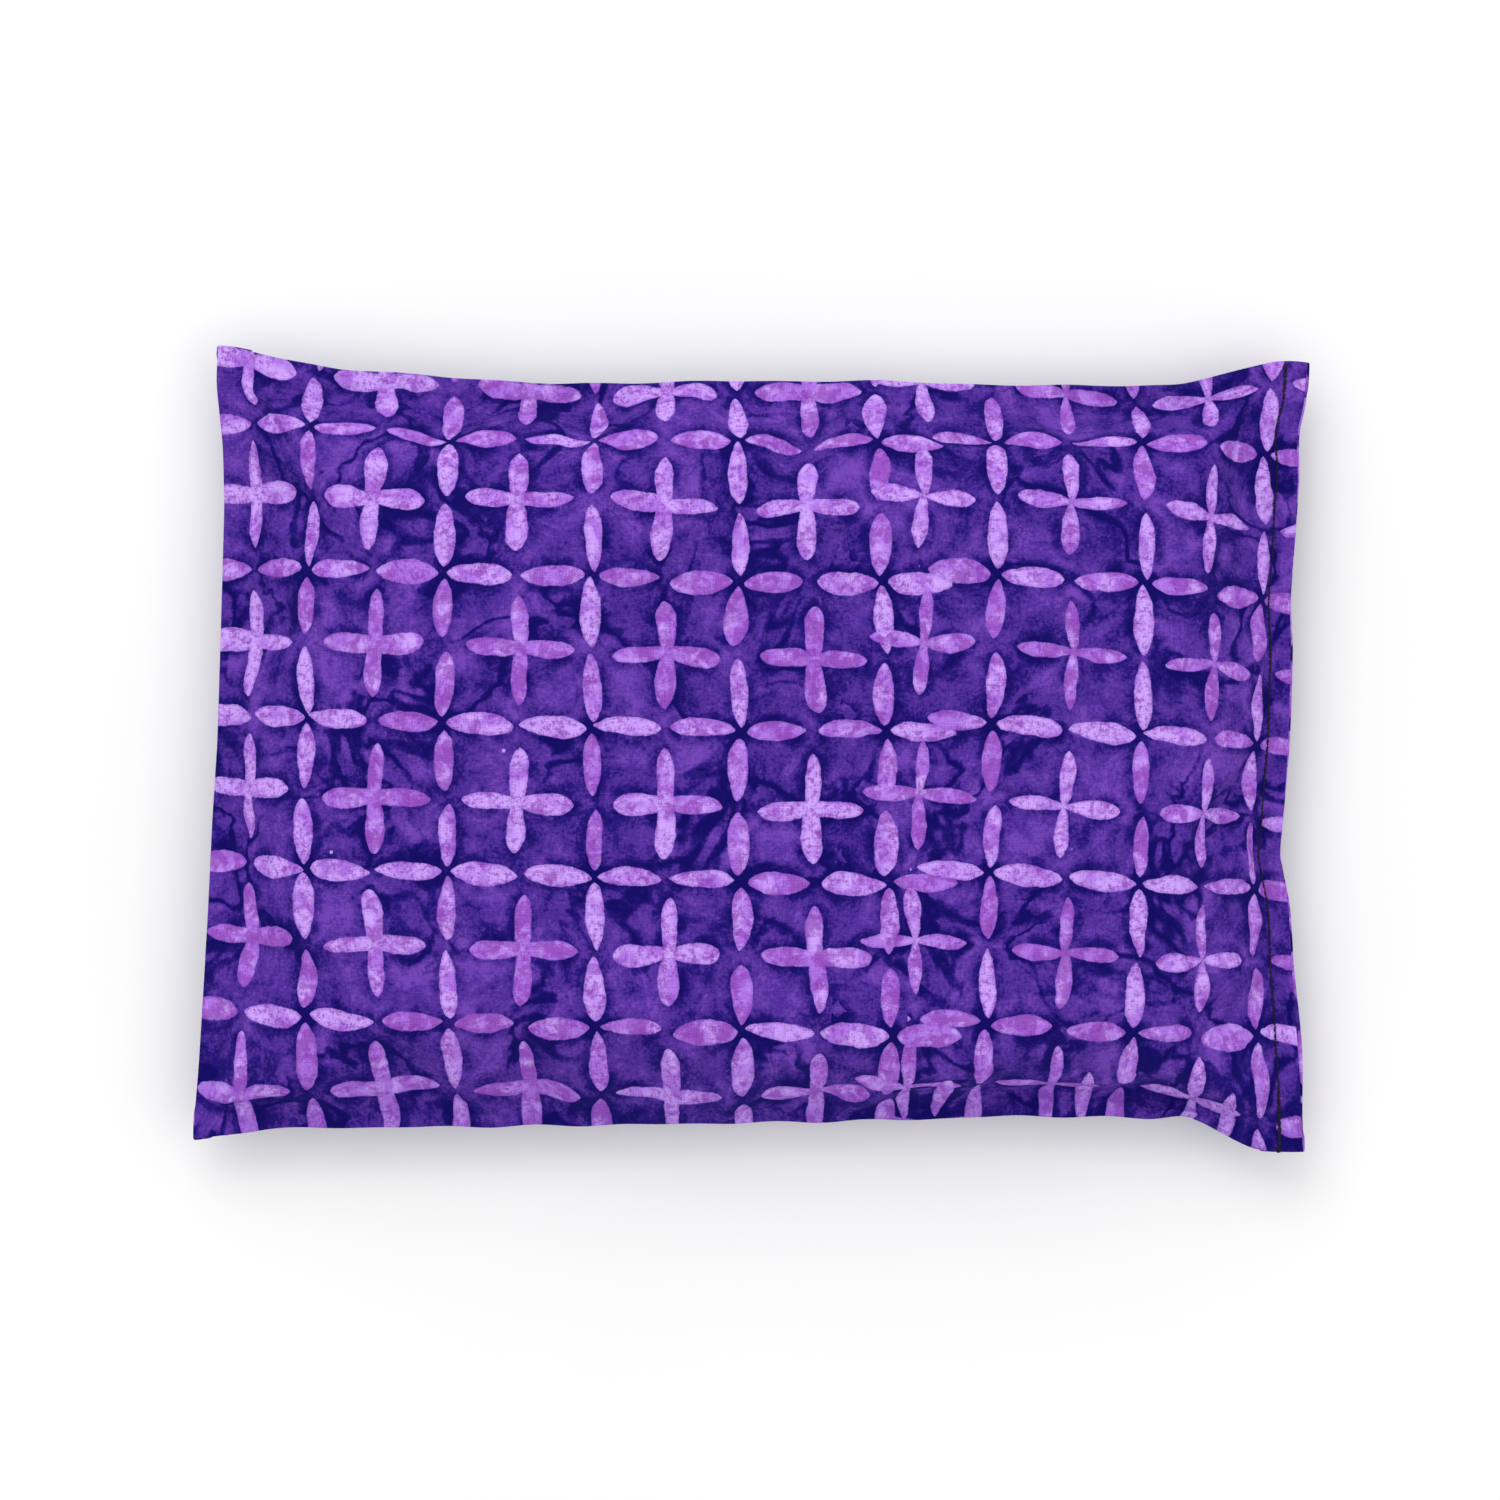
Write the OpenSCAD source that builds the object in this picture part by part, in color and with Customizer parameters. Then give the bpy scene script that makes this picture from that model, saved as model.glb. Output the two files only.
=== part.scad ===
// Eye pillow: two printed cotton panels sewn into a flat bag, loosely filled with flax seed and
// lavender, and closed for good by a topstitched hem at one end.
// Frame: X runs from the plain end to the closing hem, Y across, Z up. The pillow lies on its back
// panel, and the origin is the middle of its footprint, on the surface that it lies on.

/* [Pillow] */
// Length between the corner tips, with the closing hem
pillow_length = 254; // [220:1:290]
// Width between the corner tips
pillow_width = 184; // [150:1:210]
// Height of the filled pillow as it lies
pillow_height = 36; // [30:1:44]
// Height of the edge seam above the surface below
seam_height = 12; // [9:0.5:16]
// How far each filled long side pulls in between its corners
side_pull = 7; // [0:0.5:12]
// How far the closing end pulls in between its corners
closing_pull = 4; // [0:0.5:8]
// How far the plain end pulls in between its corners
plain_pull = 2; // [0:0.5:6]
// How far the plain end is cut out of square
plain_lean = 6.5; // [0:0.5:10]
// How far the closing end sits to one side of the plain end
side_shift = 3.5; // [0:0.5:8]

/* [Cloth] */
// Thickness of the cotton
cloth = 0.3; // [0.2:0.05:0.4]
// Air between a panel and its own turned-in edge
fold_gap = 0.1; // [0.05:0.05:0.2]
// Depth of the turned-in edge at the two ends
turned_in = 10; // [8:0.5:14]
// Distance from the closing fold to the topstitching
topstitch_margin = 5.7; // [4:0.1:7]

/* [Thread] */
// Diameter of the sewing thread
thread = 0.3; // [0.2:0.05:0.4]
// Length of one topstitch
stitch_length = 1.65; // [1.5:0.05:3]
// Length sewn twice at the start of the topstitching
start_backstitch = 7; // [4:1:16]
// Length sewn twice at the end of the topstitching
end_backstitch = 15; // [4:1:20]

/* [Filling] */
// Slack between the filling and the cloth above it
fill_slack = 2; // [1.9:0.1:4]
// Length of a lavender bud
bud_length = 4.2; // [3:0.1:5]
// Thickness of a lavender bud
bud_width = 1.5; // [1:0.1:1.6]
// Number of buds that lie on top of the seeds
bud_count = 24; // [12:1:40]

/* [Hidden] */

half_l = pillow_length / 2;
half_w = pillow_width / 2;
// half of the stack of four cloths at the edge: one panel and its own turned-in edge
stack = 2 * cloth + fold_gap;

// The bag is drawn over the square u, v from -1 to 1, which the four corner tips spread out.
corner_cut = 0.03;
corner_lo_plain = [-half_l, -half_w + side_shift];
corner_hi_plain = [-half_l + plain_lean, half_w];
corner_lo_closing = [half_l, -half_w];
corner_hi_closing = [half_l, half_w - side_shift];

// Places on that square, as shares of the half length: the topstitching, the inner rim of the
// turned-in edges, the filling's rim, and the step that gives a sloping cloth its thickness.
stitch_u = 1 - topstitch_margin / half_l;
allowance_r = 1 - turned_in / half_l;
fill_r = allowance_r - 1 / half_l;
cloth_r = 1.2 * cloth / half_l;

side_steps = 14;
rings = concat([for (k = [1:6]) 0.13 * k], [0.84, 0.89, 0.925, stitch_u, 0.978, 1]);
fill_rings = concat([for (k = [1:6]) 0.13 * k], [0.85, fill_r]);

function mix(a, b, t) = a * (1 - t) + b * t;
// 1 in the middle of a side and 0 at its corner
function bow(t, power) = 1 - pow(min(1, abs(t) / (1 - corner_cut)), power);
// 1 in the middle of the bag and 0 at a share of 1
function rise(t, power, bulge) = pow(max(0, 1 - pow(abs(t), power)), bulge);

// Plan position of a point of the square
function plan(u, v) =
    let (low = mix(corner_lo_plain, corner_lo_closing, (u + 1) / 2))
    let (high = mix(corner_hi_plain, corner_hi_closing, (u + 1) / 2))
    let (end_pull = u > 0 ? closing_pull : plain_pull)
    mix(low, high, (v + 1) / 2) - [u * end_pull * bow(v, 4), v * side_pull * bow(u, 5)];

// How full the bag is: 1 in the middle, 0 at the edges and all over the closing hem
function fullness(u, v) =
    rise(v, 3.2, 0.6) * (u < 0 ? rise(u, 3, 0.9) : rise(min(1, u / stitch_u), 6, 0.7));

// Height of the front panel's outside, and of the back panel's, which is flat where it rests
function front_z(u, v) =
    seam_height + stack + (pillow_height - seam_height - stack) * fullness(u, v);
function back_z(u, v) = max(0, (seam_height - stack) * (1 - 1.6 * fullness(u, v)));

// The square's rim, counterclockwise, with its corners cut
function side(k, t) = [[t, -1], [1, t], [-t, 1], [-1, -t]][k];
rim = [
    for (k = [0:3])
        for (i = [0:side_steps])
            side(k, (1 - corner_cut) * sin(90 * (2 * i / side_steps - 1)))
];

// One ring of points: the rim drawn in to r, its cloth stepped in by inset, at height z
function ring_front(r, inset, drop) = [
    for (p = rim)
        let (q = plan(p.x * (r - inset), p.y * (r - inset)))
        [q.x, q.y, front_z(p.x * r, p.y * r) - drop]
];
function ring_back(r, inset, lift) = [
    for (p = rim)
        let (q = plan(p.x * (r - inset), p.y * (r - inset)))
        [q.x, q.y, back_z(p.x * r, p.y * r) + lift]
];
function ring_level(r, z) = [
    for (p = rim)
        let (q = plan(p.x * r, p.y * r))
        [q.x, q.y, z]
];
function centre(z) = concat(plan(0, 0), [z]);

// A closed solid from rings that run from the point top, outwards, and back in to the point bottom
module ringed(top, loops, bottom) {
    m = len(loops[0]);
    n = len(loops);
    points = concat([top], [for (loop = loops) each loop], [bottom]);
    last = len(points) - 1;
    faces = concat(
        [for (i = [0:m - 1]) [0, 1 + (i + 1) % m, 1 + i]],
        [
            for (k = [0:n - 2])
                for (i = [0:m - 1])
                    let (a = 1 + k * m + i, b = 1 + k * m + (i + 1) % m)
                    each [[a, b, b + m], [a, b + m, a + m]]
        ],
        [for (i = [0:m - 1]) [last, last - m + i, last - m + (i + 1) % m]]
    );
    polyhedron(points, faces, convexity = 6);
}

function reversed(list) = [for (i = [len(list) - 1:-1:0]) list[i]];

// Front panel: the outer face, the fold, the turned-in edge and the inner face
module front_panel() {
    z = seam_height;
    color("rebeccapurple")
        ringed(
            centre(front_z(0, 0)),
            concat(
                [for (r = rings) ring_front(r, 0, 0)],
                [ring_level(1, z), ring_level(allowance_r, z), ring_level(allowance_r, z + cloth)],
                [ring_level(1 - cloth_r, z + cloth)],
                [for (r = reversed(rings)) ring_front(r, cloth_r, cloth)]
            ),
            centre(front_z(0, 0) - cloth)
        );
}

// Back panel: the same, upside down, with a flat underside
module back_panel() {
    z = seam_height;
    color("indigo")
        ringed(
            centre(back_z(0, 0) + cloth),
            concat(
                [for (r = rings) ring_back(r, cloth_r, cloth)],
                [ring_level(1 - cloth_r, z - cloth)],
                [ring_level(allowance_r, z - cloth), ring_level(allowance_r, z), ring_level(1, z)],
                [for (r = reversed(rings)) ring_back(r, 0, 0)]
            ),
            centre(back_z(0, 0))
        );
}

// The heap of flax seed, as one closed body a little smaller than the bag's inside
module flaxseed_fill() {
    top_drop = cloth + fill_slack;
    color("saddlebrown")
        ringed(
            centre(front_z(0, 0) - top_drop),
            concat(
                [for (r = fill_rings) ring_front(r, 2 * cloth_r, top_drop)],
                [for (r = reversed(fill_rings)) ring_back(r, 2 * cloth_r, 2 * cloth)]
            ),
            centre(back_z(0, 0) + 2 * cloth)
        );
}

// One dried bud, lying along X: a pointed calyx, fatter towards its tip
module lavender_bud() {
    steps = 5;
    r = bud_width / 2;
    rotate([0, 90, 0])
        rotate_extrude($fn = 24)
            polygon(concat(
                [[0, -bud_length / 2]],
                [
                    for (i = [0:steps])
                        let (t = i / steps)
                        [r * (0.35 + 0.65 * sin(150 * t)), bud_length * (t * 0.9 - 0.45)]
                ],
                [[0, bud_length / 2]]
            ));
}

// The buds lie in the slack above the seeds, spread in a sunflower spiral
module lavender_buds() {
    golden_turn = 137.5;
    color("mediumpurple")
        for (i = [0:bud_count - 1]) {
            r = 0.62 * sqrt((i + 0.5) / bud_count);
            u = r * cos(golden_turn * i);
            v = r * sin(golden_turn * i);
            z = front_z(u, v) - cloth - fill_slack / 2;
            slope_x = atan2(front_z(u + 0.02, v) - front_z(u - 0.02, v), 0.04 * half_l);
            slope_y = atan2(front_z(u, v + 0.02) - front_z(u, v - 0.02), 0.04 * half_w);
            translate(concat(plan(u, v), [z]))
                rotate([slope_y, -slope_x, 0])
                    rotate([0, 0, 61 * i])
                        lavender_bud();
        }
}

// Topstitching. A place on it is its distance from the start, at the closing hem's low corner,
// and its offset sideways, so that the rows sewn twice lie side by side.
row_gap = 1.5 * thread;
end_inset = 3;
row_length = pillow_width - side_shift - 2 * end_inset;
stitches = round(row_length / stitch_length);
start_twice = round(start_backstitch / stitch_length);
end_twice = round(end_backstitch / stitch_length);

function row_place(step, sideways) =
    let (v = 1 - (2 * end_inset + 2 * step * row_length / stitches) / (pillow_width - side_shift))
    let (fold = plan(1, v))
    [fold.x - topstitch_margin + sideways, fold.y];
needle_holes = concat(
    [for (i = [start_twice:-1:0]) row_place(i, row_gap)],
    [for (i = [0:stitches]) row_place(i, 0)],
    [for (i = [stitches:-1:stitches - end_twice]) row_place(i, row_gap)]
);

// Each stitch lies low at its two needle holes and full between them
hole_depth = 0.8;
thread_path = [
    for (i = [0:len(needle_holes) - 2])
        for (part = [0, 0.25, 0.75])
            concat(
                mix(needle_holes[i], needle_holes[i + 1], part),
                [part == 0 ? thread * (1 - hole_depth) : thread]
            )
];

// A flat-bottomed bead of thread along the path, on the level z, standing up (1) or hanging (-1)
module laid_thread(path, z, up) {
    n = len(path);
    points = [
        for (i = [0:n - 1])
            let (a = path[max(0, i - 1)], b = path[min(n - 1, i + 1)])
            let (along = [b.x - a.x, b.y - a.y])
            let (across = [-along.y, along.x] * thread / (2 * norm(along)))
            let (p = [path[i].x, path[i].y], h = path[i].z)
            each [
                concat(p + across, [z]),
                concat(p - across, [z]),
                concat(p - across * 0.6, [z + up * h]),
                concat(p + across * 0.6, [z + up * h])
            ]
    ];
    walls = [
        for (i = [0:n - 2])
            for (k = [0:3])
                let (a = 4 * i + k, b = 4 * i + (k + 1) % 4)
                each [[a, b, b + 4], [a, b + 4, a + 4]]
    ];
    e = 4 * (n - 1);
    faces = concat(walls, [[0, 3, 2], [0, 2, 1], [e, e + 1, e + 2], [e, e + 2, e + 3]]);
    outward = [for (f = faces) up > 0 ? f : [f[2], f[1], f[0]]];
    polyhedron(points, outward, convexity = 6);
}

module closing_needle_thread() {
    color("midnightblue")
        laid_thread(thread_path, seam_height + stack, 1);
}

module closing_bobbin_thread() {
    color("midnightblue")
        laid_thread(thread_path, seam_height - stack, -1);
}

// The seam inside the bag runs round three sides, between each turned-in edge and its panel.
// It is a plain flat bead here, from the closing hem along one side, across the plain end and back.
seam_r = 1 - 3 * cloth_r;
seam_steps = 40;
seam_stop = stitch_u - 0.01;
function seam_line(r) = concat(
    [for (i = [0:seam_steps]) plan(mix(seam_stop, -r, i / seam_steps), -r)],
    [for (i = [1:seam_steps]) plan(-r, mix(-r, r, i / seam_steps))],
    [for (i = [1:seam_steps]) plan(mix(-r, seam_stop, i / seam_steps), r)]
);
module seam_bead() {
    linear_extrude(fold_gap)
        polygon(concat(seam_line(seam_r), reversed(seam_line(seam_r - cloth_r))));
}

module seam_needle_thread() {
    color("darkslateblue")
        translate([0, 0, seam_height + cloth])
            seam_bead();
}

module seam_bobbin_thread() {
    color("darkslateblue")
        translate([0, 0, seam_height - cloth - fold_gap])
            seam_bead();
}

front_panel();
back_panel();
flaxseed_fill();
lavender_buds();
closing_needle_thread();
closing_bobbin_thread();
seam_needle_thread();
seam_bobbin_thread();
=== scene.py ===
import math

import bpy
import numpy as np
from bpy.props import FloatProperty, FloatVectorProperty, IntProperty, PointerProperty
from mathutils import Matrix, Vector, noise
from mathutils.bvhtree import BVHTree


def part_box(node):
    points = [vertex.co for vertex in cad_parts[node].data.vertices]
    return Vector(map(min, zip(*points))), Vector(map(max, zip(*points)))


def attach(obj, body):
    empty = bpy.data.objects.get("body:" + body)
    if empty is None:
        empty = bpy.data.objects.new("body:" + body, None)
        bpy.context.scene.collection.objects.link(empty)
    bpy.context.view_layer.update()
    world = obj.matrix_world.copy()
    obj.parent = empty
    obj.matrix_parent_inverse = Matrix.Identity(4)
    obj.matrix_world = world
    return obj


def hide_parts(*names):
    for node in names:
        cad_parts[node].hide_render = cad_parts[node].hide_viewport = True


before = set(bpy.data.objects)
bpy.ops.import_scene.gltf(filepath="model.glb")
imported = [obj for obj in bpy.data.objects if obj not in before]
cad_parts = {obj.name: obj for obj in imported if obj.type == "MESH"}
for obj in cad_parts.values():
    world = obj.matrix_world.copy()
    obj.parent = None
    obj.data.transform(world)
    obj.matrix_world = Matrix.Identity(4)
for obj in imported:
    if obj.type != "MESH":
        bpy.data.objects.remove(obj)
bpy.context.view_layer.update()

bl_info = {
    "name": "Eye pillow",
    "version": (1, 0, 0),
    "blender": (4, 5, 0),
    "location": "3D View > Sidebar > Eye pillow",
    "description": "Sews, fills and prints a batik cotton eye pillow round its packed frame",
    "category": "Object",
}

PANEL_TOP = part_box("front_panel")[1][2]
MM = 0.001
FULL_LIFT = 0.006  # at this height over the seam, the cloth and the fill are fully round
TABLE_GAP = 0.00003  # how far the lowest cloth is kept above the table


# ---------------------------------------------------------------- what a user would change


def length(name, description, default):
    """A setting in metres."""
    return FloatProperty(name=name, description=description, default=default, unit="LENGTH")


def number(name, description, default, least):
    """A setting that is counted."""
    return IntProperty(name=name, description=description, default=default, min=least)


def dye(name, description, default):
    """A colour setting."""
    return FloatVectorProperty(name=name, description=description, default=default, subtype="COLOR", size=3)


class PillowSizes(bpy.types.PropertyGroup):
    """Sizes of the cloth, the fill and the sewing."""

    seam_height: length("Seam height", "Height of the side seams above the table", 0.012)
    rise: length("Rise", "How far the fill lifts the front above the seams", 0.0235)
    flat_length: length("Flat length", "Length of the flat cloth between its folded ends", 0.2600)
    flat_width: length("Flat width", "Width of the flat cloth between the side seams", 0.1875)
    print_shift: length("Print shift", "How far the cloth is drawn towards the lower side", 0.002)
    end_shift: length("End shift", "How far the print is drawn towards the closing end", 0.0018)
    cloth: length("Cloth thickness", "Thickness of one layer of the cotton", 0.0003)
    allowance: length("Seam allowance", "Cloth turned in along the three sewn edges", 0.008)
    turned_in: length("Hem turning", "Cloth turned in at the closing end", 0.010)
    hem: length("Hem width", "From the closing fold to the row of stitches", 0.0051)
    stitch: length("Stitch length", "Length of one stitch of the closing row", 0.00165)
    seam_stitch: length("Seam stitch length", "Length of one stitch of the hidden side seams", 0.0025)
    thread: length("Thread thickness", "Thickness of the sewing thread", 0.0003)
    columns: number("Cloth columns", "Cells of the cloth along the pillow", 104, 40)
    seeds: number("Seeds", "Loose flax seeds shown on the surface of the fill", 2600, 0)
    buds: number("Lavender buds", "Dried buds among the seeds", 36, 1)


class PillowColours(bpy.types.PropertyGroup):
    """Colours of the dyes, threads and seeds."""

    deepest: dye("Deepest navy", "Dye pooled in the creases and beside the wax", (0.0050, 0.0025, 0.095))
    navy: dye("Navy", "Dark blue violet of the ground", (0.016, 0.006, 0.143))
    violet: dye("Violet", "Middle tone of the ground", (0.064, 0.022, 0.245))
    purple: dye("Purple", "Lightest tone of the ground", (0.130, 0.045, 0.350))
    petal: dye("Lavender petal", "Main colour of the stamped petals", (0.330, 0.138, 0.605))
    petal_light: dye("Pale petal", "Washed patches inside the petals", (0.480, 0.285, 0.760))
    stain: dye("Plum stain", "Dye that crept under the wax", (0.195, 0.034, 0.330))
    thread: dye("Thread", "Navy sewing thread, nearly black", (0.004, 0.003, 0.022))
    seed: dye("Flax seed", "Shiny brown seed coat", (0.150, 0.055, 0.018))
    bud: dye("Dried bud", "Grey violet dried lavender", (0.150, 0.115, 0.230))


# ---------------------------------------------------------------- shared helpers


def give(target, **settings):
    """Sets several settings of one thing."""
    for name, value in settings.items():
        setattr(target, name, value)
    return target


def only(piece):
    """Deselects everything and makes this piece the selected, active one."""
    bpy.ops.object.select_all(action="DESELECT")
    piece.select_set(True)
    bpy.context.view_layer.objects.active = piece


def modify(kind, **settings):
    """Adds a modifier to the active piece."""
    bpy.ops.object.modifier_add(type=kind)
    return give(bpy.context.active_object.modifiers[-1], **settings)


def new_piece(name, points, faces):
    """A piece made of these points and faces, selected and active."""
    mesh = bpy.data.meshes.new(name)
    mesh.from_pydata([tuple(point) for point in points], [], faces)
    mesh.update()
    piece = bpy.data.objects.new(name, mesh)
    bpy.context.collection.objects.link(piece)
    only(piece)
    return piece


def grid_faces(rows, cols, first=0, flipped=False):
    """The four-sided faces of a grid of points, of which the first has this number."""
    faces = []
    for i in range(rows - 1):
        for j in range(cols - 1):
            a = first + i * cols + j
            face = (a, a + cols, a + cols + 1, a + 1)
            faces.append(face[::-1] if flipped else face)
    return faces


def read(vertices, name):
    """A value of each vertex, its place or its normal, as rows of three."""
    values = np.empty(len(vertices) * 3)
    vertices.foreach_get(name, values)
    return values.reshape(-1, 3)


def run_along(path):
    """The distance along a path at each of its points."""
    steps = np.linalg.norm(np.diff(path, axis=0), axis=1)
    return np.concatenate([[0.0], np.cumsum(steps)])


# ---------------------------------------------------------------- outline of the sewn pillow

# Each edge of the pillow as (place along the edge, distance from the middle) in millimetres.
CLOSING_FOLD = (
    (-92, 126), (-73, 125.3), (-50, 123.5), (-35, 122.8), (-24, 120.6), (-17, 121.4), (-2, 122.6),
    (24, 123.4), (34, 123), (48, 124.3), (63, 125), (72, 124.6), (79, 126.4), (89, 127),
)
PLAIN_SEAM = (
    (-89, -126.8), (-82, -126.6), (-73, -125.8), (-40, -123.8), (-15, -122.6), (2, -121.5),
    (30, -120.6), (56, -119.9), (69, -120.2), (84, -121.8), (92, -121.3),
)
UPPER_SEAM = (
    (-122, 92), (-118, 92), (-108, 89.5), (-93, 86.8), (-60, 84.5), (-44, 83.4), (-12, 84.1),
    (28, 84.2), (63, 83.1), (98, 83.2), (105, 85), (116, 87.7), (121, 89), (127, 88),
)
LOWER_SEAM = (
    (-127, -88.8), (-117, -87.5), (-110, -86.3), (-54, -85.8), (-2, -85.1), (40, -84.2),
    (61, -83.4), (92, -84), (99, -83.2), (105, -86), (111, -89.2), (116, -91.5), (126, -91.4),
)
# The corners in metres: the plain end's lower and upper, then the closing end's lower and upper.
CORNERS = ((-0.1268, -0.0888), (-0.1213, 0.0920), (0.1260, -0.0914), (0.1270, 0.0880))


def edge_curve(points, along):
    """Distance from the middle, in metres, at places along an edge in metres, with soft bends."""
    places = np.array([p[0] for p in points]) * MM
    depths = np.array([p[1] for p in points]) * MM
    total = np.zeros_like(along)
    weights = 0.0
    for shift in np.linspace(-3.0, 3.0, 7) * MM:
        weight = math.exp(-((shift / (2.0 * MM)) ** 2))
        total += weight * np.interp(along + shift, places, depths)
        weights += weight
    return total / weights


def plan(u, v):
    """Where a point of the flat cloth lies seen from above. u and v run from -1 to 1."""
    a = (u + 1.0) / 2.0
    b = (v + 1.0) / 2.0
    low_left, high_left, low_right, high_right = CORNERS
    x_low = low_left[0] + (low_right[0] - low_left[0]) * a
    x_high = high_left[0] + (high_right[0] - high_left[0]) * a
    y_left = low_left[1] + (high_left[1] - low_left[1]) * b
    y_right = low_right[1] + (high_right[1] - low_right[1]) * b
    ends = 1.0 - u**8
    y_low = edge_curve(LOWER_SEAM, x_low)
    y_high = edge_curve(UPPER_SEAM, x_high)
    y_low = y_low + 0.00035 * np.sin(x_low * 290.0) * np.sin(x_low * 47.0 + 0.8) * ends
    y_high = y_high + 0.00025 * np.sin(x_high * 230.0 + 1.0) * np.sin(x_high * 61.0) * ends
    x_left = edge_curve(PLAIN_SEAM, y_left)
    x_right = edge_curve(CLOSING_FOLD, y_right)
    place = []
    edges = ((x_low, x_high, x_left, x_right), (y_low, y_high, y_left, y_right))
    for k, (low, high, left, right) in enumerate(edges):
        value = (1 - b) * low + b * high + (1 - a) * left + a * right
        value -= (1 - a) * (1 - b) * low_left[k] + (1 - a) * b * high_left[k]
        value -= a * (1 - b) * low_right[k] + a * b * high_right[k]
        place.append(value)
    return place


def soft_noise(shape, width, seed):
    """Seeded smooth noise on a grid, about one unit strong. width is in cells."""
    field = np.random.default_rng(seed).normal(0.0, 1.0, shape)
    rows = (width * np.fft.fftfreq(shape[0]))[:, None] ** 2
    cols = (width * np.fft.fftfreq(shape[1]))[None, :] ** 2
    smooth = np.real(np.fft.ifft2(np.fft.fft2(field) * np.exp(-2 * np.pi**2 * (rows + cols))))
    return smooth / smooth.std()


# ---------------------------------------------------------------- filling the sewn cloth


def cloth_grid(sizes):
    """The u and v of the cloth's columns and rows, and the column of the closing stitches."""
    columns = sizes.columns
    rows = int(columns * 0.74)
    stitch_u = 1.0 - 2.0 * sizes.hem / sizes.flat_length
    hem_columns = stitch_u + (1.0 - stitch_u) * np.array([0.2, 0.42, 0.66, 0.86, 1.0])
    u = np.concatenate([np.linspace(-1.0, stitch_u, columns + 1), hem_columns])
    v = np.linspace(-1.0, 1.0, rows + 1)
    return u, v, columns, stitch_u


def fill_room(u, v, stitch_u):
    """How much of the full rise the fill reaches at each place, from 0 at a seam to 1.

    It gets there within a reach of each seam, given in millimetres."""
    half_length, half_width = 127.0, 92.0
    plain_reach, hem_reach = 48.0, 15.0
    side_reach = np.where(v < 0, 19.0, 38.0)
    from_plain = np.clip((u + 1.0) * half_length / plain_reach, 0, 1)
    from_hem = np.clip((stitch_u - u) * half_length / hem_reach, 0, 1)
    from_side = np.clip((1.0 - np.abs(v)) * half_width / side_reach, 0, 1)
    plain = 0.04 + 0.96 * np.sin(from_plain * np.pi / 2) ** 0.85
    hem = 0.03 + 0.97 * np.sin(from_hem * np.pi / 2) ** 0.8
    side = 0.03 + 0.97 * np.sin(from_side * np.pi / 2) ** 0.8
    return plain * hem * side


def fill_surface(name, sign, height, stitch_u, seed, scale):
    """A surface of packed seeds that the cloth is pressed against from inside."""
    u = np.linspace(-1.08, 1.08, 151)
    v = np.linspace(-1.1, 1.1, 116)
    U, V = np.meshgrid(u, v, indexing="ij")
    x, y = plan(U, V)
    room = fill_room(U, V, stitch_u)
    dents = soft_noise(U.shape, 9.0, seed) * 1.1 * MM + soft_noise(U.shape, 3.0, seed + 1) * 0.35 * MM
    z = sign * (height * room + dents * np.minimum(1.0, room * 1.2))
    if sign < 0:
        z = np.maximum(z, -height)
    points = np.stack([x, y, z], axis=-1).reshape(-1, 3) * scale
    surface = new_piece(name, points, grid_faces(len(u), len(v), flipped=sign > 0))
    modify("COLLISION")
    give(surface.collision, thickness_outer=0.005, thickness_inner=0.3, cloth_friction=2.0)
    return surface


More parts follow.
